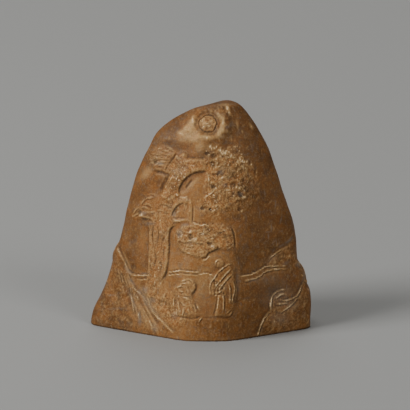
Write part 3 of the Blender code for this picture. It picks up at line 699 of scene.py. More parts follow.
sun_u, sun_w = SUN_CENTRE
work.patch(work.pale, SUN_PALE_AND_HIGHLIGHT, 1.0, 3)
work.patch(work.pale, SUN_CRESCENT, 0.9, 1)
work.patch(work.pecked, SUN_PALE_AND_HIGHLIGHT, 0.35, 2)
work.blob(work.pecked, sun_u, sun_w, 1.7, 1.5, 0.7)
work.blobs(work.rubbed, SUN_HIGHLIGHT_STREAKS)
# Painted shade: a wide shallow cut right of the crescent, darkened.
work.line(SUN_BEHIND, 1.4 * MM, 0.2 * LINE_DEEP, 0.4)
work.blobs(work.pale, SUN_HIGHLIGHT_PATCHES)
work.blobs(work.red, SUN_RED)
work.ring(SUN_CENTRE, SUN_HALO, 2.2 * FINE_WIDE, 0.5 * FINE_DEEP, 0.35)
work.rim(SUN_CENTRE, SUN_RIM, SUN_RIM_INSIDE, SUN_RIM_OUTSIDE, SUN_RIM_HIGH)
work.ring(SUN_CENTRE, SUN_RADIUS, 0.8 * LINE_WIDE, 0.8 * LINE_DEEP, 0.85)
for _ in range(SUN_DOTS):
    turn = chance.uniform(0.0, 2.0 * math.pi)
    reach = SUN_DOTS_REACH * math.sqrt(chance.random())
    work.blob(work.rubbed, sun_u - 0.3 + 0.8 * reach * math.sin(3.0 * turn),
              sun_w + 0.8 * reach * math.cos(2.0 * turn), 0.24, 0.18, chance.uniform(0.3, 1.0))
    work.pit(sun_u + reach * math.cos(turn), sun_w + 0.85 * reach * math.sin(turn),
             chance.uniform(0.22, 0.4) * MM, chance.uniform(0.03, 0.10) * MM, chance.uniform(0.1, 0.6))


# The old pine: a straight trunk on the left with bark and whorls, and a thick bough that arches to the
# right over a smooth hollow. Both stand in the full relief, with a deep cut down the trunk's right side.
TRUNK_SKIN = (
    (-12.0, 27.6), (-12.0, 24.0), (-12.1, 20.5), (-12.3, 17.0), (-12.5, 14.5), (-13.3, 11.6), (-12.0, 9.8),
    (-9.0, 9.4), (-8.6, 13.6), (-8.1, 16.0), (-7.6, 18.5), (-7.4, 22.0), (-7.2, 25.6), (-6.2, 27.4),
    (-2.6, 27.4), (-2.4, 31.4), (-2.8, 32.8), (-5.0, 33.2), (-5.4, 34.2), (-8.6, 33.6), (-9.6, 31.0),
)
TRUNK_RIGHT = (
    (-6.0, 26.6), (-6.9, 25.9), (-7.3, 24.6), (-7.35, 22.0), (-7.5, 19.5), (-7.75, 17.2), (-8.15, 15.6),
    (-8.9, 14.2),
)
TRUNK_LEFT = ((-12.1, 28.0), (-12.0, 24.0), (-12.1, 20.5), (-12.3, 17.0), (-12.5, 14.5))
BARK = (
    ((-9.1, 22.2), (-8.6, 23.1), (-8.0, 23.6)), ((-8.8, 21.0), (-8.9, 22.3), (-8.3, 24.0)),
    ((-8.4, 22.2), (-8.55, 20.6), (-8.5, 19.2)), ((-10.9, 27.0), (-11.1, 24.5), (-10.8, 22.0)),
    ((-9.9, 26.5), (-9.6, 24.6), (-9.9, 23.0)), ((-10.6, 21.0), (-10.3, 19.0), (-10.8, 17.0)),
    ((-9.4, 18.6), (-9.0, 17.4), (-9.3, 16.0)), ((-11.4, 19.6), (-11.6, 17.6), (-11.3, 16.0)),
)
BOUGH_SKIN = (
    (-9.0, 33.0), (-8.6, 35.0), (-7.8, 36.8), (-7.4, 38.4), (-6.9, 40.4), (-5.7, 42.8), (-3.6, 43.4),
    (-3.0, 42.2), (1.6, 41.8), (1.6, 39.3), (0.2, 39.05), (-1.8, 38.6), (-3.2, 37.6), (-4.4, 36.3),
    (-5.0, 35.0), (-4.9, 33.4), (-7.0, 31.8),
)
BOUGH_UNDER = (
    (-4.95, 33.9), (-4.95, 35.0), (-4.4, 36.3), (-3.2, 37.6), (-1.9, 38.55), (-0.4, 38.95), (1.4, 39.0),
)
BOUGH_OUTER = ((-9.0, 34.6), (-9.0, 35.6), (-8.2, 36.9), (-7.6, 38.0))
PAD_SIDE = ((-8.2, 39.2), (-7.8, 40.2), (-7.1, 41.2), (-6.2, 42.4), (-5.7, 43.3))
BOUGH_TOP = ((-3.4, 42.25), (-2.6, 42.15), (-1.0, 42.1), (0.9, 42.0))
BOUGH_INNER = ((-3.6, 35.0), (-2.9, 36.1), (-1.9, 37.4))
HOLLOW_FLOOR = ((-5.0, 33.3), (-4.2, 33.05), (-3.0, 33.2))
BOUGH_RIDGE = ((-7.2, 36.7), (-6.7, 37.3), (-6.4, 38.0))
BOUGH_PALE = ((-5.8, 39.2, 0.7, 1.0, 0.55), (-8.5, 33.6, 0.6, 0.7, 0.5))
RECESS = ((-6.5, 28.3), (-6.1, 29.7), (-5.2, 30.9), (-3.9, 31.7), (-2.9, 31.7), (-2.8, 28.3))
RECESS_ARC = ((-6.7, 28.7), (-6.4, 29.6), (-5.9, 30.5), (-5.1, 31.3), (-3.9, 31.9))
RECESS_FLOOR = ((-6.4, 28.4), (-5.2, 28.4), (-3.6, 28.3))
RECESS_FOOT = ((-6.3, 27.8), (-5.0, 27.75), (-3.8, 27.9))
POST = ((-2.45, 26.9), (-2.3, 29.4), (-2.35, 31.6), (-2.6, 33.0))
POST_SIDE = ((-2.0, 27.2), (-1.85, 29.4), (-1.85, 31.0))
TRUNK_FLECKS = 150
BOUGH_FLECKS = 110

work.mass(TRUNK_SKIN, 0.8 * RELIEF, 1.6 * SHOULDER, 0.55)
work.mass(BOUGH_SKIN, 1.1 * RELIEF, 1.8 * SHOULDER, 0.75)
recess = work.inside(RECESS)
work.pecked[recess] = 0.0
work.raised[recess] *= 0.5
work.shelf(TRUNK_RIGHT, 1, BOLD_DEEP)
work.line(TRUNK_RIGHT, 0.7 * BOLD_WIDE, 1.1 * BOLD_DEEP, 0.8)
work.shelf(TRUNK_LEFT, -1, 0.5 * RELIEF, FAR_REACH)
work.lines(BARK, FINE_WIDE, FINE_DEEP, 0.5)
work.shelf(BOUGH_UNDER, -1, 0.8 * BOLD_DEEP, 1.1 * FAR_REACH)
work.line(BOUGH_UNDER, 0.8 * BOLD_WIDE, 0.8 * BOLD_DEEP, 0.8)
work.line(BOUGH_OUTER, 2.0 * BOLD_WIDE, 0.7 * LINE_DEEP, 0.35)
work.line(PAD_SIDE, LINE_WIDE, 0.7 * LINE_DEEP, 0.4)
work.shelf(BOUGH_TOP, 1, 0.6 * RELIEF)
work.line(BOUGH_TOP, FINE_WIDE, FINE_DEEP, 0.8)
work.line(BOUGH_INNER, 1.6 * LINE_WIDE, 1.2 * LINE_DEEP, 0.6)
work.ridge(HOLLOW_FLOOR, 0)
work.shelf(RECESS_ARC, -1, 0.8 * BOLD_DEEP)
work.line(RECESS_ARC, 0.8 * BOLD_WIDE, BOLD_DEEP, 1.0)
work.line(RECESS_FLOOR, FINE_WIDE, FINE_DEEP, 0.6)
work.ridge(RECESS_FOOT, 0, 1.2 * RIDGE_WIDE)
work.ridge(POST, 0, 2.4 * RIDGE_WIDE, 1.2 * RIDGE_HIGH, 0.2)
work.line(POST_SIDE, FINE_WIDE, 0.8 * LINE_DEEP, 0.5)
work.flecks(TRUNK_SKIN, TRUNK_FLECKS, chance, 0.3, 1.0, 85.0, 0.08 * MM)
work.flecks(BOUGH_SKIN, BOUGH_FLECKS, chance, 0.2, 0.7, 50.0, 0.10 * MM)
work.ridge(BOUGH_RIDGE, 0, RIDGE_WIDE, RIDGE_HIGH, 0.9)
work.blobs(work.pale, BOUGH_PALE)


# The needle pads and leaf masses: low cushions of stone, the pads scored with fans of needles, the clump
# and the crown pecked all over with the point and holed deeper where twigs cross.
LOW_PAD = (
    (-16.0, 29.0), (-15.2, 30.6), (-14.0, 32.0), (-12.6, 33.4), (-10.4, 33.9), (-8.2, 33.2), (-7.2, 31.0),
    (-8.4, 28.6), (-11.6, 28.1), (-13.4, 27.9), (-15.6, 28.3),
)
HIGH_PAD = (
    (-12.0, 42.6), (-10.6, 44.6), (-8.4, 45.2), (-6.6, 44.6), (-5.8, 43.2), (-7.1, 41.2), (-8.1, 39.2),
    (-10.4, 39.2), (-11.8, 40.4),
)
CLUMP = (
    (-5.8, 25.6), (-4.0, 26.6), (-2.0, 27.2), (2.4, 27.0), (5.4, 26.5), (7.1, 26.0), (7.7, 24.4),
    (7.8, 21.8), (6.0, 21.2), (3.4, 21.1), (2.2, 20.6), (1.3, 19.4), (0.1, 19.2), (-1.6, 19.8),
    (-3.2, 20.3), (-4.6, 21.0), (-5.4, 23.0),
)
CROWN = (
    (1.6, 44.4), (4.4, 44.3), (8.0, 43.4), (11.0, 41.4), (13.2, 38.8), (13.8, 35.0), (11.6, 31.4),
    (8.0, 28.8), (3.6, 27.8), (-0.2, 28.8), (-1.0, 31.6), (0.8, 33.2), (0.8, 35.6), (1.0, 38.4),
    (1.2, 41.8),
)
CROWN_HEART = (
    (2.4, 43.4), (6.4, 42.5), (10.0, 40.4), (10.8, 37.0), (9.8, 33.4), (6.4, 30.0), (2.0, 29.4),
    (0.2, 31.4), (1.6, 34.2), (1.4, 37.0), (1.8, 41.0),
)
CROWN_BAND = (
    (1.9, 44.8), (3.0, 44.4), (4.2, 43.8), (5.2, 43.3), (6.0, 43.1), (7.2, 42.3), (8.4, 41.7), (9.4, 41.3),
    (10.4, 40.6), (11.4, 40.0),
)
CLUMP_TOP = ((-2.0, 27.3), (-1.0, 27.05), (0.0, 26.75), (1.0, 26.85), (1.8, 26.5))
CLUMP_UNDER = ((0.2, 19.2), (1.2, 19.45), (1.8, 20.4), (2.6, 20.75), (3.8, 21.25), (4.9, 21.2))
CLUMP_UNDER_LEFT = ((-4.8, 21.0), (-3.2, 20.3), (-1.6, 19.8), (0.2, 19.2))
CLUMP_SWOOSH = ((0.2, 18.65), (1.1, 18.85), (1.7, 19.35), (2.0, 20.0))
CLUMP_RIGHT = ((7.0, 26.1), (7.5, 25.0), (7.8, 23.4), (7.85, 21.6))
CLUMP_STROKES = (
    ((-3.2, 26.3), (-2.0, 26.5), (-0.6, 26.2)), ((-4.2, 25.3), (-3.0, 25.0), (-1.8, 25.2)),
    ((-3.6, 24.4), (-2.4, 24.2), (-1.4, 24.4)), ((-0.8, 24.9), (0.4, 25.2), (1.4, 24.9)),
    ((-4.6, 23.2), (-3.4, 23.0), (-2.0, 23.3)), ((-1.6, 22.6), (-0.4, 22.9), (0.8, 22.5)),
    ((-3.8, 22.2), (-2.4, 22.0), (-1.2, 22.2)), ((1.6, 24.0), (2.6, 24.4), (3.6, 24.2)),
    ((3.4, 25.6), (4.4, 25.3), (5.2, 25.6)), ((4.4, 24.0), (5.4, 24.4), (6.4, 24.0)),
)
CLUMP_LEFT = ((-5.3, 22.9), (-4.9, 22.0), (-4.1, 21.1), (-3.0, 20.4), (-1.8, 19.9), (-0.6, 19.5))
CROWN_LEFT = ((1.2, 39.2), (1.7, 38.0), (1.9, 36.6), (1.6, 35.4))
TWIG = ((0.8, 33.0), (1.6, 33.5), (2.4, 34.1), (3.1, 34.7))
PITS = (
    (-10.4, 41.2, 0.4), (-14.1, 29.7, 0.5), (2.8, 35.6, 0.6), (4.5, 38.4, 0.65), (7.5, 36.0, 0.7),
    (9.2, 33.8, 0.75), (-2.2, 24.1, 0.55), (2.1, 22.6, 0.5), (-4.9, 24.6, 0.4), (0.5, 30.6, 0.4),
    (9.0, 30.4, 0.5), (2.8, 40.6, 0.7), (2.4, 30.3, 0.4), (3.0, 42.6, 0.6), (1.4, 43.2, 0.5),
)
HIGHLIGHT_SPOTS = (
    (8.8, 35.3, 0.5), (5.6, 37.7, 0.4), (2.8, 21.95, 0.55), (5.5, 25.65, 0.3), (-1.2, 23.6, 0.6),
    (6.4, 34.7, 0.35), (9.6, 33.1, 0.4), (7.9, 44.8, 0.3), (9.4, 43.0, 0.3), (-13.7, 29.2, 0.5),
    (1.3, 43.7, 0.25), (2.9, 43.4, 0.25), (4.1, 40.2, 0.4),
)
NEEDLE_STROKES = (
    ((-8.0, 44.9), (-7.0, 44.3), (-6.1, 43.7), (-5.9, 43.2)), ((-10.5, 43.7), (-8.0, 43.0), (-6.8, 42.7)),
    ((-11.0, 42.2), (-9.0, 42.0), (-7.2, 41.8)), ((-10.0, 40.5), (-9.0, 40.5), (-8.3, 40.6)),
    ((-10.0, 41.2), (-9.0, 41.25), (-8.0, 41.3)), ((-11.4, 43.2), (-9.8, 43.0), (-8.4, 42.4)),
    ((-9.8, 44.4), (-8.6, 44.0), (-7.2, 43.5)),
    ((-13.4, 32.6), (-12.4, 33.6), (-11.3, 33.9), (-10.4, 33.5)),
    ((-13.9, 31.4), (-13.2, 32.4), (-12.3, 33.0), (-11.2, 33.0)),
    ((-13.8, 30.9), (-12.8, 30.9), (-11.8, 30.2)), ((-13.2, 31.5), (-12.2, 31.6), (-11.2, 31.0)),
    ((-12.8, 29.9), (-11.6, 29.7), (-10.4, 29.9)), ((-15.6, 29.4), (-14.9, 30.4), (-14.2, 30.8)),
    ((-15.8, 28.8), (-14.8, 29.2), (-14.0, 30.0)), ((-10.0, 30.3), (-8.5, 30.0), (-7.0, 29.6)),
    ((-9.4, 31.9), (-8.2, 31.7), (-7.0, 31.2)),
)
UNDER_PAD = ((-10.4, 39.1), (-9.0, 38.9), (-8.2, 38.55), (-6.7, 38.3))
PAD_FOOT = ((-14.0, 28.9), (-12.8, 28.7), (-11.8, 28.4), (-10.8, 27.9))
PAD_SHADOWS = (((-14.2, 28.1), (-12.6, 28.0), (-11.6, 27.6)), ((-12.8, 27.2), (-11.4, 27.0), (-10.4, 26.8)))
SPECKS = 64
TIP_SPECKS = 21
TIP_ACROSS = (4.8, 9.4)
TIP_UP = (42.4, 45.0)
FAN_CENTRE = (-12.8, 41.4)
FAN_TURNS = (-18.0, 48.0)
FAN_REACH = (1.2, 6.2)
NEEDLES = 8
CROWN_FLECKS = 220
HEART_FLECKS = 110
CLUMP_FLECKS = 110

work.mass(LOW_PAD, 0.6 * RELIEF, 3.0 * SHOULDER, 0.3)
work.mass(HIGH_PAD, 0.5 * RELIEF, 3.0 * SHOULDER, 0.3)
work.mass(CLUMP, 0.6 * RELIEF, 3.4 * SHOULDER, 0.75)
work.mass(CROWN, 0.25 * RELIEF, 5.0 * SHOULDER, 0.35)
work.mass(CROWN_HEART, 0.45 * RELIEF, 3.0 * SHOULDER, 0.85)
work.line(UNDER_PAD, 1.6 * LINE_WIDE, 0.8 * LINE_DEEP, 0.36)
work.ridges(NEEDLE_STROKES, -1, RIDGE_WIDE, 0.45 * RIDGE_HIGH, 0.3)
work.ridge(PAD_FOOT, -1, 1.5 * RIDGE_WIDE, RIDGE_HIGH, 0.3)
work.lines(PAD_SHADOWS, 2.4 * BOLD_WIDE, 0.3 * LINE_DEEP, 0.35)
work.ridge(CLUMP_TOP, 1, RIDGE_WIDE, RIDGE_HIGH, 0.65)
work.ridge(CROWN_LEFT, 0, RIDGE_WIDE, 0.6 * RIDGE_HIGH, 0.6)
work.shelf(CLUMP_UNDER, -1, 1.2 * RELIEF)
work.line(CLUMP_UNDER, FINE_WIDE, LINE_DEEP, 0.9)
work.shelf(CLUMP_UNDER_LEFT, -1, 0.4 * RELIEF)
work.ridges(CLUMP_STROKES, -1, RIDGE_WIDE, 0.45 * RIDGE_HIGH, 0.35)
work.ridge(CLUMP_LEFT, 0, 1.2 * RIDGE_WIDE, 0.6 * RIDGE_HIGH, 0.5)
work.ridge(CLUMP_SWOOSH, 0, RIDGE_WIDE, RIDGE_HIGH, 1.0)
work.line(CLUMP_RIGHT, FINE_WIDE, LINE_DEEP, 0.9)
work.ridge(TWIG, 0, RIDGE_WIDE, 1.2 * RIDGE_HIGH, 0.8)
# Each pit gets a dark smudge of painted shade on its upper left and a pale crescent of painted highlight on
# its lower right.
for u, w, radius in PITS:
    work.pit(u, w, 1.4 * radius * MM, 0.8 * LINE_DEEP, 0.1)
    work.blob(work.grime_and_shade, u - 0.2, w + 0.1, 1.2 * radius, 0.8 * radius, 0.62, -25.0)
    work.blob(work.rubbed, u + 0.9 * radius, w - 0.8 * radius, 0.7 * radius, 0.4 * radius, 0.9, 20.0)
# Painted highlights: bright spots beside pits and on the raised lumps.
for u, w, radius in HIGHLIGHT_SPOTS:
    work.blob(work.rubbed, u, w, radius, 0.6 * radius, 1.0, 25.0)
work.fan(FAN_CENTRE, *FAN_TURNS, NEEDLES, *FAN_REACH, chance, 0.8)
work.ridge(CROWN_BAND, 0, RIDGE_WIDE, 0.6 * RIDGE_HIGH, 0.5)
for _ in range(SPECKS):
    at = chance.uniform(0.0, len(CROWN_BAND) - 1.001)
    first, second = CROWN_BAND[int(at)], CROWN_BAND[int(at) + 1]
    off = chance.gauss(0.0, 0.2 + 0.06 * at)
    u = first[0] + (second[0] - first[0]) * (at % 1.0) + 0.5 * off
    w = first[1] + (second[1] - first[1]) * (at % 1.0) + off
    work.blob(work.rubbed, u, w, chance.uniform(0.22, 0.42), chance.uniform(0.15, 0.24),
              chance.uniform(0.6, 1.4), chance.uniform(30.0, 130.0))
for u, w in CROWN_BAND:
    work.blob(work.rubbed, u, w, 0.8, 0.3, 0.46, -27.0)
for _ in range(TIP_SPECKS):
    work.blob(work.rubbed, chance.uniform(*TIP_ACROSS), chance.uniform(*TIP_UP), chance.uniform(0.12, 0.28),
              chance.uniform(0.14, 0.2), chance.uniform(0.5, 1.3), chance.uniform(50.0, 110.0))
work.flecks(CROWN, CROWN_FLECKS, chance, 0.3, 0.9, 80.0)
work.flecks(CROWN_HEART, HEART_FLECKS, chance, 0.3, 0.8, 70.0, 0.12 * MM)
work.flecks(CLUMP, CLUMP_FLECKS, chance, 0.3, 1.0, 15.0, 0.12 * MM)


# Two robed figures on the bank under the pine, one standing and one seated, with plain round heads.
# They are low masses of the same stone, and their folds are thin ridges with a narrow cut beside them.
HEAD_RIGHT = (4.3, 18.0)
HEAD_LEFT = (-2.9, 13.2)
HEAD_RADIUS = 1.05 * MM
ROBE_RIGHT = (
    (2.0, 15.2), (3.7, 16.2), (5.0, 17.2), (6.6, 18.0), (7.6, 16.0), (7.9, 12.6), (7.7, 8.0), (7.0, 5.9),
    (3.2, 5.9), (3.9, 8.4), (3.9, 10.4), (1.9, 10.8),
)
ROBE_LEFT = (
    (-7.0, 11.6), (-5.6, 13.2), (-4.0, 14.2), (-1.9, 13.8), (-1.2, 12.4), (-1.9, 10.6), (-1.6, 8.6),
    (-0.6, 6.2), (-3.4, 5.7), (-6.0, 5.9), (-7.2, 8.4),
)
RIDGES_UP = (
    ((3.8, 15.9), (4.6, 16.6), (5.4, 17.25), (6.2, 17.8), (7.0, 17.9)),
    ((4.5, 12.6), (5.4, 13.7), (6.3, 14.8), (7.1, 15.5)),
    ((2.9, 12.2), (3.9, 13.4), (4.9, 14.6), (5.9, 15.8), (6.8, 16.7)),
    ((2.2, 11.0), (2.0, 12.4), (2.35, 13.8), (3.2, 14.8), (3.8, 15.9)),
    ((3.3, 17.3), (3.35, 18.2), (3.8, 18.8), (4.5, 19.0)),
    ((4.0, 10.4), (3.95, 9.2), (3.75, 7.9), (3.25, 6.1)), ((5.9, 6.6), (6.4, 7.0), (7.0, 7.6)),
    ((6.4, 6.0), (6.8, 6.4), (7.2, 7.0)),
    ((-4.6, 13.9), (-3.8, 14.1), (-3.0, 14.4), (-2.3, 14.2), (-1.8, 13.6)),
    ((-4.6, 13.2), (-3.9, 13.5), (-3.3, 13.4)), ((-5.4, 12.4), (-4.6, 12.8), (-3.8, 12.7)),
    ((-5.0, 11.75), (-4.4, 11.5), (-3.8, 11.6)), ((-4.7, 9.6), (-3.9, 8.5), (-3.1, 8.2), (-2.4, 8.5)),
    ((-1.8, 8.6), (-1.4, 7.7), (-1.1, 6.9)), ((-0.9, 8.6), (-0.6, 7.7), (-0.3, 7.2)),
    ((-6.9, 7.6), (-6.7, 6.6), (-6.1, 5.6)), ((-0.5, 4.5), (-0.1, 5.2), (0.3, 5.6)),
)
RIDGES_DOWN = (
    ((7.2, 14.0), (7.65, 13.0), (7.7, 11.8), (7.35, 10.4), (7.2, 9.2)),
    ((7.9, 14.2), (8.1, 12.0), (8.0, 9.6)), ((6.4, 13.4), (6.7, 11.4), (6.6, 9.0)),
    ((4.9, 11.6), (5.2, 9.4), (5.1, 7.2)), ((-3.0, 10.6), (-2.6, 9.6), (-2.7, 8.9)),
)
ROBE_FOLDS = (
    ((-5.2, 9.6), (-5.1, 8.6), (-4.9, 7.4)), ((-6.0, 10.3), (-6.25, 9.2), (-6.1, 8.0)),
    ((-2.9, 8.0), (-2.8, 7.2), (-2.5, 6.2)), ((-3.9, 7.8), (-4.0, 6.8), (-4.3, 5.9)),
    ((-4.2, 10.4), (-3.4, 10.15), (-2.6, 9.8)), ((-5.4, 7.2), (-5.5, 6.4), (-5.2, 5.7)),
)
SHADOW_LEFT = ((-1.5, 13.9), (-1.2, 13.1), (-1.05, 12.4), (-1.4, 11.7), (-1.9, 11.0), (-1.8, 10.0))
SHADOW_RIGHT = ((8.2, 17.4), (8.4, 14.6), (8.35, 11.6), (8.1, 8.8))
GROUND_LINE = ((-6.2, 6.0), (-3.6, 5.6), (-2.6, 5.35), (-1.2, 5.45), (0.0, 6.0))
GROUND_RIGHT = ((0.6, 5.6), (3.0, 5.6), (5.2, 5.5), (7.0, 5.2))
ROBE_FLECKS = 60
ROBE_DOTS = 30
ROBE_DOTS_ACROSS = (2.8, 5.2)
ROBE_DOTS_UP = (10.8, 14.2)

work.mass(ROBE_RIGHT, 0.8 * RELIEF, 1.2 * SHOULDER, 0.15)
work.mass(ROBE_LEFT, 0.7 * RELIEF, 1.4 * SHOULDER, 0.35)
work.flecks(ROBE_LEFT, ROBE_FLECKS, chance, 0.3, 1.0, 100.0, 0.08 * MM)
work.dome(HEAD_RIGHT, HEAD_RADIUS, 1.4 * RELIEF)
work.dome(HEAD_LEFT, HEAD_RADIUS, 1.3 * RELIEF)
work.ridges(RIDGES_UP, -1, RIDGE_WIDE, RIDGE_HIGH, 0.68)
work.ridges(ROBE_FOLDS, 1, RIDGE_WIDE, 0.9 * RIDGE_HIGH, 0.55)
work.ridges(RIDGES_DOWN, 1, RIDGE_WIDE, 0.8 * RIDGE_HIGH, 0.5)
work.shelf(SHADOW_LEFT, 1, 0.8 * BOLD_DEEP)
work.line(SHADOW_LEFT, BOLD_WIDE, 0.7 * LINE_DEEP, 0.35)
work.line(SHADOW_RIGHT, 2.4 * BOLD_WIDE, 0.25 * LINE_DEEP, 0.4)
work.line(GROUND_LINE, FINE_WIDE, FINE_DEEP, 0.6)
work.line(GROUND_RIGHT, FINE_WIDE, 0.5 * FINE_DEEP, 0.3)
# Small pits in the robe, each with a pale fleck of painted highlight at its lower right.
for _ in range(ROBE_DOTS):
    u, w = chance.uniform(*ROBE_DOTS_ACROSS), chance.uniform(*ROBE_DOTS_UP)
    work.pit(u, w, chance.uniform(0.28, 0.4) * MM, FINE_DEEP, 0.6)
    work.blob(work.rubbed, u + 0.3, w - 0.3, 0.2, 0.15, 0.8)


# Water, the far shore and the rocks on both sides: the rocks stand over the ground in crisp steps, with
# thin ridges along their folds.
WATER = (
    ((-7.6, 16.0), (-6.2, 16.1), (-4.4, 16.4), (-3.0, 16.25), (-1.4, 16.0), (0.0, 15.85), (1.4, 15.7),
     (2.8, 15.3)),
    ((-7.7, 15.2), (-5.4, 15.5), (-3.2, 15.5), (-1.0, 15.35), (0.6, 15.5)),
    ((-15.3, 14.25), (-14.2, 14.15), (-13.2, 14.2), (-12.3, 14.3)),
    ((-15.8, 15.3), (-14.4, 15.15), (-12.9, 15.2), (-11.9, 15.25)),
    ((8.6, 15.2), (10.6, 15.2), (12.2, 15.7), (13.4, 16.35), (14.5, 17.0), (15.6, 17.45)),
)
SHORE = (
    (8.4, 15.3), (10.6, 15.3), (12.8, 16.1), (14.6, 17.2), (15.4, 17.9), (15.9, 18.9), (17.0, 20.1),
    (18.8, 21.4), (21.0, 22.4),
)
SHORE_LINES = (
    ((15.3, 17.8), (15.7, 18.7), (16.2, 19.4), (17.1, 20.1), (17.9, 20.7), (18.7, 21.3)),
    ((10.2, 14.0), (12.0, 14.35), (13.7, 15.1), (14.5, 15.9), (16.6, 16.6), (19.7, 16.7)),
    ((14.6, 17.2), (16.4, 17.3), (18.0, 17.35), (19.6, 17.3)),
)
HILL_EDGE = ((16.5, 20.9), (17.6, 21.6), (18.9, 22.4), (20.4, 22.9), (21.1, 23.6), (21.6, 24.4))
HILL = ((15.8, 18.2), (16.6, 19.6), (18.6, 21.0), (20.4, 21.6), (21.4, 20.0), (21.0, 18.2), (18.0, 17.7))
CORNER_RIGHT = (
    (21.4, 19.0), (22.8, 18.4), (24.0, 16.6), (25.0, 13.4), (24.2, 12.6), (23.4, 14.6), (22.0, 16.6),
)
ROCK_RIGHT = (
    (13.0, 0.9), (13.6, 2.8), (14.4, 4.6), (15.2, 5.9), (16.0, 6.9), (16.05, 9.2), (16.8, 10.8),
    (17.8, 11.6), (19.4, 12.0),
)
ROCK_RIGHT_HIGH = (
    (18.3, 9.6), (19.5, 9.45), (20.6, 9.6), (21.6, 10.1), (22.4, 10.7), (23.0, 11.8), (23.5, 13.0),
    (23.9, 14.2),
)
ROCK_RIDGES = (
    ((13.0, 1.0), (13.6, 2.8), (14.35, 4.6), (15.1, 5.9), (16.0, 6.9)),
    ((16.15, 7.2), (16.1, 8.4), (16.3, 9.7), (16.8, 10.7), (17.7, 11.5), (18.6, 11.85), (19.3, 11.9)),
    ((17.3, 9.8), (17.9, 10.3), (18.6, 10.75), (19.7, 10.85)),
    ((18.3, 9.55), (19.5, 9.4), (20.6, 9.6), (21.6, 10.05), (22.4, 10.65), (23.0, 11.8), (23.5, 13.0)),
    ((18.4, 6.6), (19.5, 7.3), (20.5, 8.0), (21.6, 8.9), (22.3, 10.0)),
    ((17.6, 8.6), (18.8, 8.6), (20.0, 8.9)),
)
ROCK_LEFT = (
    (-19.5, 21.8), (-18.9, 20.6), (-18.1, 19.3), (-17.5, 18.0), (-17.1, 16.6), (-16.5, 15.8), (-15.4, 15.3),
)
ROCK_FALL = (
    (-15.4, 13.0), (-14.6, 11.6), (-13.4, 10.8), (-12.5, 9.6), (-11.6, 8.0), (-10.4, 6.4), (-8.8, 4.4),
    (-7.2, 2.8), (-6.2, 2.0),
)
FALL_RIDGES = (
    ((-19.4, 21.6), (-19.1, 20.8), (-18.6, 20.0)),
    ((-17.6, 18.2), (-17.2, 17.0), (-16.8, 16.1), (-16.1, 15.5), (-15.4, 15.3)),
    ((-16.6, 14.0), (-15.6, 12.8), (-15.0, 11.6)),
    ((-15.0, 10.6), (-14.0, 8.6), (-13.2, 7.0), (-12.5, 5.8), (-11.8, 4.5), (-11.0, 3.0)),
    ((-12.4, 10.4), (-11.8, 8.2), (-11.0, 7.0), (-9.8, 5.5), (-8.5, 4.2), (-7.5, 3.1), (-6.4, 2.1)),
    ((-16.4, 12.0), (-16.0, 9.4), (-15.5, 6.4)), ((-14.4, 6.8), (-14.4, 6.1), (-14.3, 5.4)),
    ((-13.4, 9.6), (-12.6, 7.8), (-11.4, 5.6), (-10.2, 3.6)),
    ((-16.9, 15.5), (-15.6, 12.3), (-14.4, 11.2), (-13.3, 10.0), (-12.2, 8.4)),
    ((-11.6, 7.3), (-10.6, 6.0), (-9.5, 4.9)),
)
FALL_FAINT = (
    ((-17.6, 14.6), (-16.8, 12.0), (-16.2, 9.8)), ((-19.2, 16.6), (-18.6, 13.6), (-17.6, 10.6)),
    ((-18.9, 15.9), (-17.4, 12.6), (-15.9, 9.4), (-14.8, 6.6), (-14.2, 4.4)),
)
FALL_FOLDS = (
    ((-16.0, 13.6), (-14.8, 10.4), (-13.2, 7.4), (-11.6, 4.6)),
    ((-13.0, 9.0), (-11.4, 6.4), (-9.6, 4.2), (-8.0, 2.6)), ((-17.6, 13.4), (-16.4, 9.6), (-15.2, 6.0)),
    ((-19.6, 12.0), (-18.8, 8.4), (-18.6, 5.6)),
)
ROCK_LEFT_SKIN = (
    (-19.4, 21.4), (-17.4, 17.2), (-15.2, 14.8), (-13.0, 11.0), (-9.6, 5.6), (-6.4, 2.2), (-12.0, 1.6),
    (-20.0, 3.0), (-25.2, 4.4), (-22.6, 11.0), (-20.6, 17.0),
)
BANK = (
    (-13.0, 11.0), (-9.0, 10.4), (-7.6, 12.0), (-6.6, 9.0), (-4.0, 7.0), (-3.0, 4.6), (-6.0, 3.0),
    (-9.0, 5.4), (-11.6, 8.4),
)
ROCK_RIGHT_SKIN = (
    (13.6, 1.4), (15.8, 6.6), (16.6, 10.4), (19.0, 11.6), (22.4, 10.6), (24.0, 14.0), (25.2, 8.0),
    (25.4, 3.4), (20.0, 2.2),
)
ROCK_SKINS = ((ROCK_LEFT_SKIN, 0.3, 90), (BANK, 0.7, 110), (ROCK_RIGHT_SKIN, 0.35, 60))
HILL_FLECKS = 46
CORNER_FLECKS = 34

work.ridges(WATER, 1, 0.85 * RIDGE_WIDE, RIDGE_HIGH, 0.75)
work.shelf(SHORE, 1, 0.8 * RELIEF, FAR_REACH)
work.ridges(SHORE_LINES, -1, RIDGE_WIDE, RIDGE_HIGH, 0.65)
work.line(HILL_EDGE, 1.6 * LINE_WIDE, 0.6 * LINE_DEEP, 0.25)
work.pecked = np.maximum(work.pecked, 0.5 * work.inside(HILL))
work.flecks(HILL, HILL_FLECKS, chance, 0.3, 0.8, 90.0, 0.08 * MM)
work.flecks(CORNER_RIGHT, CORNER_FLECKS, chance, 0.3, 0.8, 110.0, 0.10 * MM)
work.shelf(ROCK_RIGHT, 1, 1.5 * RELIEF, FAR_REACH)
work.shelf(ROCK_RIGHT_HIGH, 1, 1.4 * RELIEF)
work.ridges(ROCK_RIDGES, -1, 1.3 * RIDGE_WIDE, 1.3 * RIDGE_HIGH, 1.0)
work.shelf(ROCK_LEFT, 1, 1.2 * RELIEF, FAR_REACH)
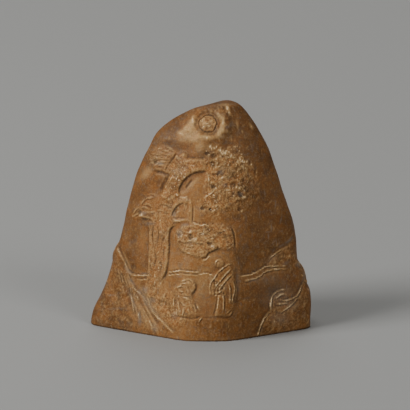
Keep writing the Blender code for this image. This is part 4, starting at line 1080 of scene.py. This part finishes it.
work.shelf(ROCK_FALL, 1, 0.6 * RELIEF)
work.ridges(FALL_RIDGES, 1, RIDGE_WIDE, RIDGE_HIGH, 0.6)
work.ridges(FALL_FAINT, 1, RIDGE_WIDE, 0.6 * RIDGE_HIGH, 0.25)
work.lines(FALL_FOLDS, 1.6 * MM, 0.5 * LINE_DEEP, 0.25)
for shape, peck, number in ROCK_SKINS:
    work.pecked = np.maximum(work.pecked, peck * work.inside(shape))
    work.flecks(shape, number, chance, 0.3, 1.0, 110.0, 0.09 * MM)


# The back, which the photograph doesn't show: the same stone rubbed smooth, with one hill line and a
# few strokes for rocks.
BACK_HILL = (
    (-24.6, 12.0), (-21.0, 15.6), (-17.0, 17.0), (-12.4, 13.6), (-7.0, 10.6), (-1.0, 9.4), (5.0, 10.6),
    (11.0, 13.6), (15.0, 17.6), (18.0, 19.6), (21.4, 17.6),
)
BACK_LINES = (
    ((-19.6, 13.0), (-16.4, 8.6), (-14.4, 3.6)), ((-12.0, 11.6), (-9.0, 7.4), (-7.6, 3.0)),
    ((13.0, 13.8), (10.6, 9.0), (9.6, 4.0)), ((18.0, 17.0), (17.0, 11.0), (17.8, 5.0)),
    ((-3.4, 8.0), (-1.0, 5.0), (-0.6, 2.4)),
)

work.face("back")
work.shelf(BACK_HILL, 1, RELIEF, FAR_REACH)
work.ridge(BACK_HILL, 1)
work.lines(BACK_LINES, 2.4 * LINE_WIDE, 1.2 * LINE_DEEP, 0.4)
work.face("front")


# Old dirt and wear that the photograph shows: dark patches in the recesses, partly stains and partly painted
# shade, grey dust, pale nicks and whitish chips at the top. With them goes painted shade down the right side,
# at the far left, towards the top, on up-facing surfaces and where the skin turns away at the sides, and pale
# patches of painted highlight.
# Dark patches, partly stains and partly painted shade.
STAINS_AND_SHADE = (
    (2.2, 44.0, 1.5, 2.4, 0.8, -20.0), (-4.6, 44.6, 2.2, 0.8, 0.6), (-7.6, 45.8, 2.0, 1.0, 0.55),
    (-8.9, 35.6, 0.7, 1.3, 0.8, -20.0), (-7.9, 37.6, 0.7, 0.9, 0.7), (-15.6, 17.3, 0.8, 0.9, 0.9, 30.0),
    (-17.2, 19.8, 0.8, 0.8, 0.8), (-16.0, 22.8, 0.4, 1.2, 0.6), (-13.3, 13.2, 0.8, 0.8, 0.45),
    (-14.6, 34.0, 2.2, 1.6, 0.45, 45.0), (21.3, 11.2, 1.2, 1.0, 0.6, 20.0), (13.0, 19.6, 0.7, 0.5, 0.5),
    (-11.6, 10.0, 0.6, 0.6, 0.6), (12.6, 36.4, 1.6, 2.4, 0.4), (12.0, 33.6, 1.6, 1.0, 0.4),
    (-9.4, 47.4, 3.4, 1.8, 0.6, 45.0), (-5.0, 51.4, 3.6, 1.1, 0.6, 30.0), (1.0, 53.8, 3.0, 0.8, 0.5, 14.0),
    (-16.4, 25.0, 1.2, 5.0, 0.35, 10.0), (-22.0, 8.0, 2.2, 5.0, 0.3, 30.0),
    (-14.6, 39.6, 1.0, 4.0, 0.5, -22.0), (-19.4, 3.4, 7.0, 2.6, 0.45), (-15.4, 21.0, 1.6, 5.0, 0.4, 6.0),
    (-24.0, 4.0, 3.0, 6.0, 0.4, 30.0), (-6.6, 48.4, 3.0, 2.6, 0.55, 30.0), (6.4, 50.0, 1.0, 3.0, 0.5),
    (3.6, 46.4, 2.6, 0.9, 0.7), (7.6, 51.6, 1.0, 2.6, 0.6, 10.0), (6.2, 47.6, 2.4, 1.6, 0.55),
    (10.6, 46.4, 3.0, 2.6, 0.45, 30.0), (5.3, 53.9, 0.6, 0.8, 1.0, 17.0), (6.9, 53.2, 0.35, 1.2, 0.9, 17.0),
    (-9.6, 36.8, 2.0, 1.2, 0.55, 20.0), (-13.4, 35.4, 2.0, 1.2, 0.6, 50.0),
    (-6.8, 49.6, 2.6, 1.0, 0.4, 40.0), (-5.8, 45.2, 2.6, 1.2, 0.5), (5.0, 45.9, 2.6, 1.0, 0.6, -12.0),
    (-15.4, 26.0, 1.6, 2.6, 0.35), (2.6, 43.2, 1.0, 0.8, 0.8), (9.6, 37.4, 4.0, 5.0, 0.4),
    (4.6, 41.4, 3.4, 2.4, 0.4, -20.0), (1.8, 44.2, 2.0, 1.2, 0.6), (8.2, 53.2, 1.8, 1.4, 0.5, -30.0),
    (5.4, 3.6, 2.0, 2.8, 0.65), (5.8, 8.6, 1.9, 5.2, 0.42), (-19.4, 7.8, 3.4, 2.2, 0.35),
    (-11.3, 41.6, 2.6, 2.2, 0.42), (-14.4, 40.0, 1.6, 2.4, 0.35), (-11.4, 46.4, 2.0, 1.6, 0.35, 30.0),
    (-8.2, 40.2, 1.8, 1.6, 0.3), (11.6, 43.6, 2.4, 2.4, 0.35, -30.0), (-19.6, 5.6, 2.4, 4.4, 0.4, 20.0),
    (-16.3, 19.6, 1.6, 2.4, 0.4), (9.6, 49.4, 2.6, 3.0, 0.5, 20.0), (12.4, 44.4, 2.2, 3.2, 0.45, 10.0),
    (-9.8, 38.8, 1.6, 2.0, 0.4), (4.0, 17.4, 2.4, 3.0, 0.18),
)
# Painted shade: dark grey smudges on the summit's rim and round the bough and the crown.
SHADE_SMUDGES = (
    (1.2, 42.6, 2.2, 1.0, 0.55), (4.6, 54.9, 3.0, 0.7, 0.8), (3.6, 53.6, 1.8, 0.6, 0.5, 12.0),
    (5.2, 44.1, 1.2, 0.8, 0.35), (1.6, 44.8, 1.5, 1.0, 0.35), (-6.6, 45.4, 2.4, 1.1, 0.4),
    (-9.4, 44.2, 2.4, 0.9, 0.45, 15.0), (-2.8, 42.5, 1.2, 0.8, 0.4), (-6.2, 39.2, 0.9, 0.9, 0.4),
    (-7.7, 37.6, 0.9, 0.9, 0.5), (15.8, 41.0, 1.0, 3.6, 0.45, -18.0), (-6.4, 35.0, 0.8, 1.6, 0.35),
)
DUSTY = (
    (-13.3, 29.5, 0.9, 0.5, 0.8), (-6.1, 29.2, 0.5, 0.6, 0.8), (-4.8, 24.8, 0.7, 1.0, 0.7),
    (-11.7, 27.1, 1.3, 0.4, 0.6), (-3.6, 26.9, 0.9, 0.4, 0.6), (-4.8, 15.0, 0.7, 0.3, 0.6),
    (20.5, 23.2, 1.2, 0.35, 0.8, 40.0), (18.7, 22.0, 0.8, 0.3, 0.6, 30.0),
    (12.2, 14.1, 1.3, 0.35, 0.5, 8.0), (9.1, 33.8, 0.7, 0.5, 0.6), (5.6, 35.9, 0.7, 0.5, 0.6),
    (17.6, 10.3, 1.0, 0.4, 0.6), (20.7, 8.3, 2.2, 1.5, 0.5), (18.3, 5.4, 2.4, 1.8, 0.5),
    (-12.9, 11.8, 0.9, 0.9, 0.8), (-14.3, 11.2, 0.6, 0.9, 0.6), (-11.2, 9.5, 1.0, 0.7, 0.6),
    (-14.3, 6.0, 0.3, 1.1, 0.7), (-10.6, 3.1, 0.9, 1.1, 0.5), (-17.0, 16.4, 0.4, 1.2, 0.6, 35.0),
    (-6.0, 6.0, 0.7, 0.9, 0.6), (-15.8, 9.1, 3.6, 0.35, 0.5, -67.0), (-12.6, 9.0, 4.0, 0.7, 0.45, -52.0),
    (-19.6, 7.4, 3.6, 0.2, 0.4, 3.0), (-13.2, 15.6, 0.9, 0.25, 0.6), (4.5, 38.9, 0.8, 0.5, 0.7),
    (-9.5, 40.9, 0.9, 0.4, 0.9), (18.2, 10.4, 4.4, 3.4, 0.4), (16.4, 14.0, 4.0, 1.8, 0.25),
    (1.0, 8.6, 2.4, 4.4, 0.16), (16.5, 19.0, 1.4, 1.0, 0.4, 30.0), (8.5, 14.0, 0.5, 3.0, 0.35),
    (16.3, 26.2, 0.16, 1.0, 0.8), (15.6, 25.2, 0.9, 0.16, 0.7), (15.6, 24.2, 0.2, 0.8, 0.8),
    (18.5, 27.9, 0.18, 0.9, 0.7, -12.0), (18.4, 25.3, 0.6, 0.16, 0.6, 20.0), (13.6, 29.6, 0.16, 1.0, 0.6),
    (17.2, 31.4, 0.16, 0.9, 0.7, -8.0), (14.8, 34.2, 0.18, 0.7, 0.6, 10.0), (11.8, 24.6, 0.16, 0.9, 0.5),
    (-14.2, 4.9, 0.5, 1.4, 0.8), (-20.8, 10.5, 0.8, 0.16, 0.8), (-15.9, 13.6, 0.5, 1.2, 0.6, 40.0),
    (24.2, 15.2, 0.5, 2.0, 0.6, -20.0), (22.6, 17.6, 0.7, 0.5, 0.6), (19.6, 17.9, 1.2, 0.5, 0.5, 20.0),
)
SCUFFED = (
    (((10.0, 41.0), (14.6, 40.0), (20.4, 26.0), (22.4, 18.0), (15.0, 19.0), (9.0, 24.0)), 70, 0.45),
    (((-6.0, 2.2), (7.0, 1.6), (12.6, 2.4), (15.0, 8.0), (9.4, 13.0), (8.6, 6.0), (-5.0, 5.0)), 60, 0.5),
    (((14.0, 1.6), (16.4, 8.0), (20.0, 8.4), (25.0, 12.0), (25.2, 4.0), (20.0, 2.6)), 60, 0.7),
    (((12.0, 15.6), (15.6, 20.0), (21.0, 21.6), (23.6, 16.0), (17.0, 14.8)), 40, 0.6),
    (((-24.0, 5.0), (-19.0, 16.0), (-14.0, 8.0), (-9.0, 2.6), (-20.0, 3.6)), 70, 0.5),
    (((-18.0, 26.0), (-13.0, 26.0), (-13.0, 16.0), (-16.4, 17.0)), 16, 0.3),
    (((-9.0, 46.0), (-6.0, 50.4), (5.0, 54.0), (12.0, 50.0), (14.0, 42.0), (6.0, 46.0),
      (-3.0, 45.0)), 40, 0.5),
)
CHIPS = (
    (6.1, 53.6, 0.5, 0.8, 1.0, 10.0), (6.5, 52.6, 0.35, 0.8, 0.9, 17.0), (8.4, 49.8, 0.3, 1.2, 0.5, 10.0),
    (11.6, 49.5, 0.3, 0.8, 0.8, 30.0), (5.6, 54.4, 1.4, 0.4, 0.5),
)
# Pale patches, mostly painted highlight and painted light on relief turned to the lamp, with pale streaks
# along the rock falls.
PALE_AND_LIT_PATCHES = (
    (7.4, 39.4, 3.2, 0.9, 0.4, -20.0), (5.0, 40.6, 0.9, 1.2, 0.4), (4.0, 34.2, 2.6, 2.4, 0.3),
    (-2.6, 16.0, 3.2, 9.0, 0.22), (-9.6, 12.0, 3.0, 6.0, 0.16), (-12.6, 38.7, 1.9, 0.9, 0.55, 50.0),
    (-1.9, 36.2, 2.4, 0.5, 0.45, 45.0), (-0.2, 22.0, 4.0, 2.8, 0.34), (0.4, 13.6, 2.8, 6.0, 0.34),
    (-11.6, 8.6, 4.4, 0.45, 0.6, -54.0), (-9.4, 5.4, 4.4, 0.5, 0.55, -47.0),
    (-13.4, 6.4, 3.4, 0.35, 0.5, -64.0), (-11.2, 4.2, 2.6, 0.5, 0.5, -60.0),
    (-16.4, 13.2, 2.6, 0.4, 0.45, -62.0), (-17.2, 18.4, 2.6, 0.3, 0.5, -66.0),
)
# Places where the painted shade on the right side is lifted, over the paler rocks.
SHADE_GAPS = ((17.2, 17.6, 3.6, 2.6, 0.55), (18.0, 6.4, 4.6, 5.0, 0.62), (12.4, 14.6, 3.0, 3.2, 0.3))
SHADE_START = 2.0
SHADE_WIDE = 13.0
SHADE_MOST = 0.63
SIDE_SHADE_MOST = 0.62
SIDE_FACING = 0.60
UP_FACING_SHADE_MOST = 0.62
RIM_SLOPE = 0.50
LEFT_SHADE_START = -10.0
LEFT_SHADE_WIDE = 9.0
LEFT_SHADE_MOST = 0.56
TOP_SHADE_START = 39.0
TOP_SHADE_WIDE = 10.0
TOP_SHADE_MOST = 0.42

work.blobs(work.stain, STAINS_AND_SHADE)
work.blobs(work.grime_and_shade, SHADE_SMUDGES)
work.blobs(work.dust, DUSTY)
for shape, number, most in SCUFFED:
    work.nicks(shape, number, chance, most)
work.blobs(work.rubbed, CHIPS)
work.blobs(work.pale, PALE_AND_LIT_PATCHES)
# Painted shade: darker towards the right side, the far left and the top, on up-facing surfaces, and where the
# skin turns away at the sides.
shade = held((work.u - SHADE_START) / SHADE_WIDE)
shade = SHADE_MOST * shade * shade * (3.0 - 2.0 * shade)
left_shade = held((LEFT_SHADE_START - work.u) / LEFT_SHADE_WIDE)
left_shade = LEFT_SHADE_MOST * left_shade ** 0.7
top_shade = TOP_SHADE_MOST * held((work.w - TOP_SHADE_START) / TOP_SHADE_WIDE)
shade_gaps = np.zeros(count)
work.blobs(shade_gaps, SHADE_GAPS)
side_stain = SIDE_SHADE_MOST * held(1.0 - np.abs(work.facing) / SIDE_FACING)
rim_stain = UP_FACING_SHADE_MOST * held((normal[:, 2] - RIM_SLOPE) / (1.0 - RIM_SLOPE))
unshaded = (1.0 - shade * (1.0 - shade_gaps)) * (1.0 - left_shade) * (1.0 - side_stain) * (1.0 - top_shade)
unshaded = unshaded * (1.0 - rim_stain)
work.stain = 1.0 - (1.0 - work.stain) * unshaded


# The finished skin: slow waves from rubbing, the grain of the stone, chips at the foot's edge, and the relief
# dying out just above the foot. What was cut and what stands is kept for the dirt and painted shade in the
# hollows and for the wear.
GRAIN_DEEP = 0.008 * MM
DENT_DEEP = 0.085 * MM
PECK_DEEP = 0.100 * MM
FOOT_SHADE_HIGH = 0.5 * MM
BOX_GAP = 0.01 * MM
DENT_SCALE = 240.0
PECK_SCALE = 1150.0
GRAIN_SCALE = 2100.0
TIGHT_HOLLOW = 0.12 * MM
LOOSE_HOLLOW = 0.22 * MM
TIGHT_WEAR = 0.09 * MM

lift = work.raised - work.cut
across = place[:, 0] + 0.7 * place[:, 2]
along = 0.8 * place[:, 2] - 0.5 * place[:, 0] + place[:, 1]
for length, phase in WAVES:
    turn = 2.0 * math.pi / length
    lift = lift + UNEVEN * np.sin(turn * across + phase) * np.sin(turn * along + 2.0 * phase)
pecks = rough(PECK_SCALE)
grain = rough(GRAIN_SCALE)
lift = lift + DENT_DEEP * rough(DENT_SCALE) + GRAIN_DEEP * grain
lift = lift + PECK_DEEP * work.pecked * (pecks + 0.5 * grain)
lift = lift * held(0.35 + place[:, 2] / FOOT_PLAIN)
foot_gap = held(1.0 - place[:, 2] / FOOT_ROUND)
lift = lift - FOOT_ROUND * (1.0 - np.sqrt(1.0 - foot_gap ** 2)) * (1.0 + 0.8 * pecks)
underside = ring < FOOT_RINGS
lift = np.where(underside, 0.0, lift)
moved = place + normal * lift[:, None]
foot_rim = ring == FOOT_RINGS
moved[:, 2] = np.where(foot_rim | underside, 0.0, np.maximum(moved[:, 2], 0.0))
lowest, highest = moved.min(axis=0), moved.max(axis=0)
room = np.array([BOX_GAP, BOX_GAP, 0.0])
span = box_high - BOX_GAP - box_low - room
moved = box_low + room + (moved - lowest) * span / (highest - lowest)
stone.data.vertices.foreach_set("co", moved.ravel())
stone.data.update()

# Darker in the hollows of the relief, as dirt with painted shade.
tight = blurred(lift, 2) - lift
loose = blurred(blurred(lift, 6), 6) - lift
dirt_and_shade = held(tight / TIGHT_HOLLOW) * 0.4 + held(loose / LOOSE_HOLLOW) * 0.35
dirt_and_shade = dirt_and_shade + 0.75 * work.grime_and_shade
# A painted contact shadow along the foot.
dirt_and_shade = np.where(underside, 0.0, dirt_and_shade + 1.1 * held(1.0 - place[:, 2] / FOOT_SHADE_HIGH))
# Pale where convex edges are rubbed, and where the rubbed layer holds wear and painted highlights.
wear_and_highlight = held(-tight / TIGHT_WEAR) * 0.6 + work.rubbed
wear_and_highlight = wear_and_highlight * held(place[:, 2] / FOOT_SHADE_HIGH - 0.6)

kept = {"dirt_and_shade": dirt_and_shade, "wear_and_highlight": wear_and_highlight, "pecked": blurred(work.pecked, 2), "pale": work.pale,
        "stain": work.stain, "dust": work.dust, "red": work.red}
for name, values in kept.items():
    stored = stone.data.attributes.new(name, "FLOAT", "POINT")
    stored.data.foreach_set("value", held(values).astype(np.float32))


# The seal face: the sawn underside rubbed flat, with a border and rows of short strokes cut into it where
# the characters would be, the same as in the solid, and old dirt left in the cuts.
STROKE_DEEP = 0.5 * MM
STROKE_WIDE = 0.9 * MM
BORDER_WIDE = 0.7 * MM
FACE_LONG = 28.0 * MM
FACE_SHORT = 15.0 * MM
FACE_MIDDLE = (0.5 * MM, 2.4 * MM)
STROKE_COLUMNS = 6
STROKE_ROWS = 3
LAND = 3.0 * MM
FACE_DIRT = 0.7
LEVEL = 0.001 * MM
SLACK = 0.01 * MM
# Length and half distance of two level and of two upright strokes, in shares of their place in the rows.
LEVEL_PAIR = (0.7, 0.22)
UPRIGHT_PAIR = (0.72, 0.23)


def pick(*things):
    """Selects these objects and no others, with the first one active."""
    bpy.ops.object.select_all(action="DESELECT")
    for thing in things:
        thing.select_set(True)
    bpy.context.view_layer.objects.active = things[0]


def bar(length, wide, x, y, turn=0.0):
    """A straight cut, as the block that is taken away."""
    bpy.ops.mesh.primitive_cube_add(size=1.0, location=(x, y, 0.0), rotation=(0.0, 0.0, turn))
    block = bpy.context.active_object
    block.scale = (length, wide, 2.0 * STROKE_DEEP)
    bpy.ops.object.transform_apply(location=True, rotation=True, scale=True)
    return block


def pair(length, x, y, apart_x, apart_y, turn=0.0):
    """Two strokes side by side."""
    return [bar(length, STROKE_WIDE, x + sign * apart_x, y + sign * apart_y, turn) for sign in (1.0, -1.0)]


pick(stone)
bpy.ops.object.mode_set(mode="EDIT")
bpy.ops.mesh.select_mode(type="VERT")
bpy.ops.mesh.select_all(action="DESELECT")
bpy.ops.object.mode_set(mode="OBJECT")
stone.data.vertices.foreach_set("select", ring < FOOT_RINGS - 1)
bpy.ops.object.mode_set(mode="EDIT")
bpy.ops.mesh.delete(type="VERT")
bpy.ops.mesh.select_all(action="DESELECT")
bpy.ops.mesh.select_non_manifold()
bpy.ops.mesh.edge_face_add()
bpy.ops.mesh.normals_make_consistent(inside=False)
bpy.ops.object.mode_set(mode="OBJECT")

turns = random.Random(11)
quarter = math.pi / 2.0
middle_x, middle_y = FACE_MIDDLE
inner_x = FACE_LONG - 3.0 * BORDER_WIDE
inner_y = FACE_SHORT - 3.0 * BORDER_WIDE
blocks = []
for sign in (-1.0, 1.0):
    off_x = sign * (FACE_LONG - BORDER_WIDE) / 2.0
    off_y = sign * (FACE_SHORT - BORDER_WIDE) / 2.0
    blocks.append(bar(inner_x, BORDER_WIDE, middle_x, middle_y + off_y))
    blocks.append(bar(inner_y, BORDER_WIDE, middle_x + off_x, middle_y, quarter))
pitch_x = (inner_x - LAND) / STROKE_COLUMNS
pitch_y = inner_y / STROKE_ROWS
for stroke_column in range(STROKE_COLUMNS):
    for stroke_row in range(STROKE_ROWS):
        shift = LAND / 2.0 if stroke_column >= STROKE_COLUMNS / 2.0 else -LAND / 2.0
        x = middle_x + (stroke_column - (STROKE_COLUMNS - 1) / 2.0) * pitch_x + shift
        y = middle_y + (stroke_row - (STROKE_ROWS - 1) / 2.0) * pitch_y
        if turns.random() < 0.5:
            blocks.extend(pair(LEVEL_PAIR[0] * pitch_x, x, y, 0.0, LEVEL_PAIR[1] * pitch_y))
        else:
            blocks.extend(pair(UPRIGHT_PAIR[0] * pitch_y, x, y, UPRIGHT_PAIR[1] * pitch_x, 0.0, quarter))
pick(*blocks)
bpy.ops.object.join()
cutter = bpy.context.active_object
modifier = stone.modifiers.new("Cut", "BOOLEAN")
modifier.operation = "DIFFERENCE"
modifier.solver = "EXACT"
modifier.object = cutter
pick(stone)
bpy.ops.object.modifier_apply(modifier=modifier.name)
bpy.data.objects.remove(cutter, do_unlink=True)
in_face = [abs(v.co.x - middle_x) < FACE_LONG / 2.0 + MM and abs(v.co.y - middle_y) < FACE_SHORT / 2.0 + MM
           and v.co.z < STROKE_DEEP + SLACK for v in stone.data.vertices]
for number, value in enumerate(stone.data.attributes["dirt_and_shade"].data):
    if in_face[number] and stone.data.vertices[number].co.z > 0.5 * STROKE_DEEP:
        value.value = FACE_DIRT
for edge in stone.data.edges:
    first, second = edge.vertices
    on_foot = max(stone.data.vertices[first].co.z, stone.data.vertices[second].co.z) < LEVEL
    if on_foot or (in_face[first] and in_face[second]):
        edge.use_edge_sharp = True


# The colour of the stone: honey brown and waxy, mottled with amber and umber, darker with stains and painted
# shade towards the rims, near black with dirt and painted shade in the cuts and hollows, pale where the
# relief is rubbed, and light with painted highlights by the sun, beside the pits and in sparse glints.
HONEY = (0.338, 0.160, 0.054)
AMBER = (0.274, 0.113, 0.031)
UMBER = (0.096, 0.046, 0.018)
SIENNA = (0.104, 0.045, 0.015)
SOOT_AND_SHADE = (0.036, 0.029, 0.023)
CHALK = (0.620, 0.390, 0.165)
PALE_STONE_AND_HIGHLIGHT = (0.540, 0.330, 0.140)
RUST = (0.430, 0.155, 0.036)
GLINT = (0.860, 0.620, 0.360)
DUST = (0.250, 0.215, 0.170)
EMBER = (0.315, 0.100, 0.018)
SMOKE = (0.160, 0.126, 0.102)
SKIN_SETTINGS = {
    "Subsurface Weight": 0.06, "Subsurface Radius": (1.0, 0.5, 0.25), "Subsurface Scale": 0.8 * MM,
    "Specular IOR Level": 0.08, "Coat Roughness": 0.26, "Coat IOR": 1.45,
}
DRAWN_OUT = (1.0, 1.0, 0.16)


def cloud(scale, detail=3.0, roughness=0.55, warp=0.0, where=None):
    """Noise with features about 1 / scale mm wide on the stone."""
    return Wire.node("ShaderNodeTexNoise", Vector=where or in_mm, Scale=scale, Detail=detail,
                     Roughness=roughness, Distortion=warp)


def layer(name):
    """A value stored on the stone's vertices."""
    return Wire.node("ShaderNodeAttribute", 2, {"attribute_name": name})


soapstone = bpy.data.materials.new("Soapstone")
soapstone.use_nodes = True
Wire.tree = soapstone.node_tree
shader = Wire.tree.nodes["Principled BSDF"]
for name, value in SKIN_SETTINGS.items():
    shader.inputs[name].default_value = value
own_place = Wire.node("ShaderNodeTexCoord", "Object")
in_mm = Wire.node("ShaderNodeVectorMath", 0, {"operation": "SCALE"}, Vector=own_place, Scale=1000.0)
tall_mm = Wire.node("ShaderNodeVectorMath", 0, {"operation": "MULTIPLY"}, _0=in_mm, _1=DRAWN_OUT)

dirt_and_shade_here, wear_and_highlight_here, pecked_here, pale_here, stain_here, dust_here, red_here = map(layer, kept)
broad = cloud(0.09, 3.0, 0.6, 0.4)
patch = cloud(0.24, 4.0, 0.6, 0.8)
middle = cloud(0.55, 4.0, 0.6, 0.3)
lump = cloud(0.95, 4.0, 0.6, 0.5)
fine = cloud(1.5, 3.0, 0.6)
speck = cloud(2.9, 2.0, 0.6)
glint = cloud(2.1, 1.0, 0.5)
tint = cloud(0.72, 3.0, 0.62, 0.9)
scratch = cloud(3.4, 1.0, 0.5, 0.0, tall_mm)
streak = cloud(1.6, 2.0, 0.6, 0.0, tall_mm)
colour = mix(broad.between(0.38, 0.62), HONEY, AMBER)
scratched = scratch.between(0.66, 0.74) * lump.between(0.46, 0.56)
# Painted glints: sparse bright specks, most in the pecked parts.
glinting = glint.between(0.62, 0.72) * patch.between(0.40, 0.62) * (0.15 + 1.1 * pecked_here * pecked_here)
# What brings a colour in, from where to where, how much of it, and the colour.
layers = (
    (patch, 0.50, 0.70, 0.42, UMBER),
    (middle, 0.50, 0.72, 0.34, UMBER),
    (1.0 - patch, 0.52, 0.68, 0.12, CHALK),
    (stain_here * (0.6 + 0.8 * middle), 0.0, 1.0, 1.0, SIENNA),
    (pale_here * (0.45 + 1.1 * fine), 0.0, 1.0, 1.0, PALE_STONE_AND_HIGHLIGHT),
    (red_here, 0.0, 1.0, 0.7, AMBER),
    (tint, 0.50, 0.66, 0.44 - 0.24 * stain_here, EMBER),
    (1.0 - tint, 0.52, 0.68, 0.34, SMOKE),
    (fine, 0.50, 0.72, 0.12 + 0.22 * pecked_here, UMBER),
    (1.0 - middle, 0.44, 0.62, 0.7 * pecked_here, RUST),
    (lump, 0.50, 0.66, 0.7 * pecked_here, UMBER),
    (1.0 - lump, 0.54, 0.70, 0.6 * pecked_here, CHALK),
    (streak, 0.60, 0.76, 0.14, CHALK),
    (1.0 - streak, 0.60, 0.76, 0.18, UMBER),
    (scratched, 0.0, 1.0, 0.5, DUST),
    (speck, 0.52, 0.68, (0.20 + 0.40 * pecked_here) * (1.0 - 0.6 * stain_here), CHALK),
    (1.0 - speck, 0.50, 0.68, 0.22 + 0.36 * pecked_here, UMBER),
    (wear_and_highlight_here * (0.1 + 1.5 * fine), 0.0, 1.0, 0.95 - 0.2 * stain_here, CHALK),
    (dirt_and_shade_here * (0.45 + 0.7 * middle), 0.0, 1.0, 0.85, SOOT_AND_SHADE),
    (dust_here * (0.2 + 1.2 * fine), 0.0, 1.0, 0.7, DUST),
    (glinting, 0.0, 1.0, 1.0 - 0.5 * stain_here, GLINT),
    (wear_and_highlight_here * (0.4 + 1.2 * speck), 0.75, 1.05, 1.0, GLINT),
)
for brings, start, full, most, hue in layers:
    colour = mix(brings.between(start, full) * most, colour, hue)
colour.into(shader.inputs["Base Color"])
dull = 0.36 + 0.16 * patch + 0.20 * dirt_and_shade_here + 0.16 * stain_here + 0.10 * pecked_here
dull.into(shader.inputs["Roughness"])
(0.05 * (1.0 - stain_here)).into(shader.inputs["Coat Weight"])
relief = fine * (0.04 + 0.12 * pecked_here) + speck * (0.035 + 0.05 * pecked_here) + middle * 0.10
relief = relief + lump * pecked_here * 0.26
bump = Wire.node("ShaderNodeBump", Strength=1.0, Distance=MM, Height=relief)
bump.into(shader.inputs["Normal"])
stone.data.materials.append(soapstone)
pick(stone)
bpy.ops.object.shade_smooth()

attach(stone, "root")
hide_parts("SEAL_STONE")
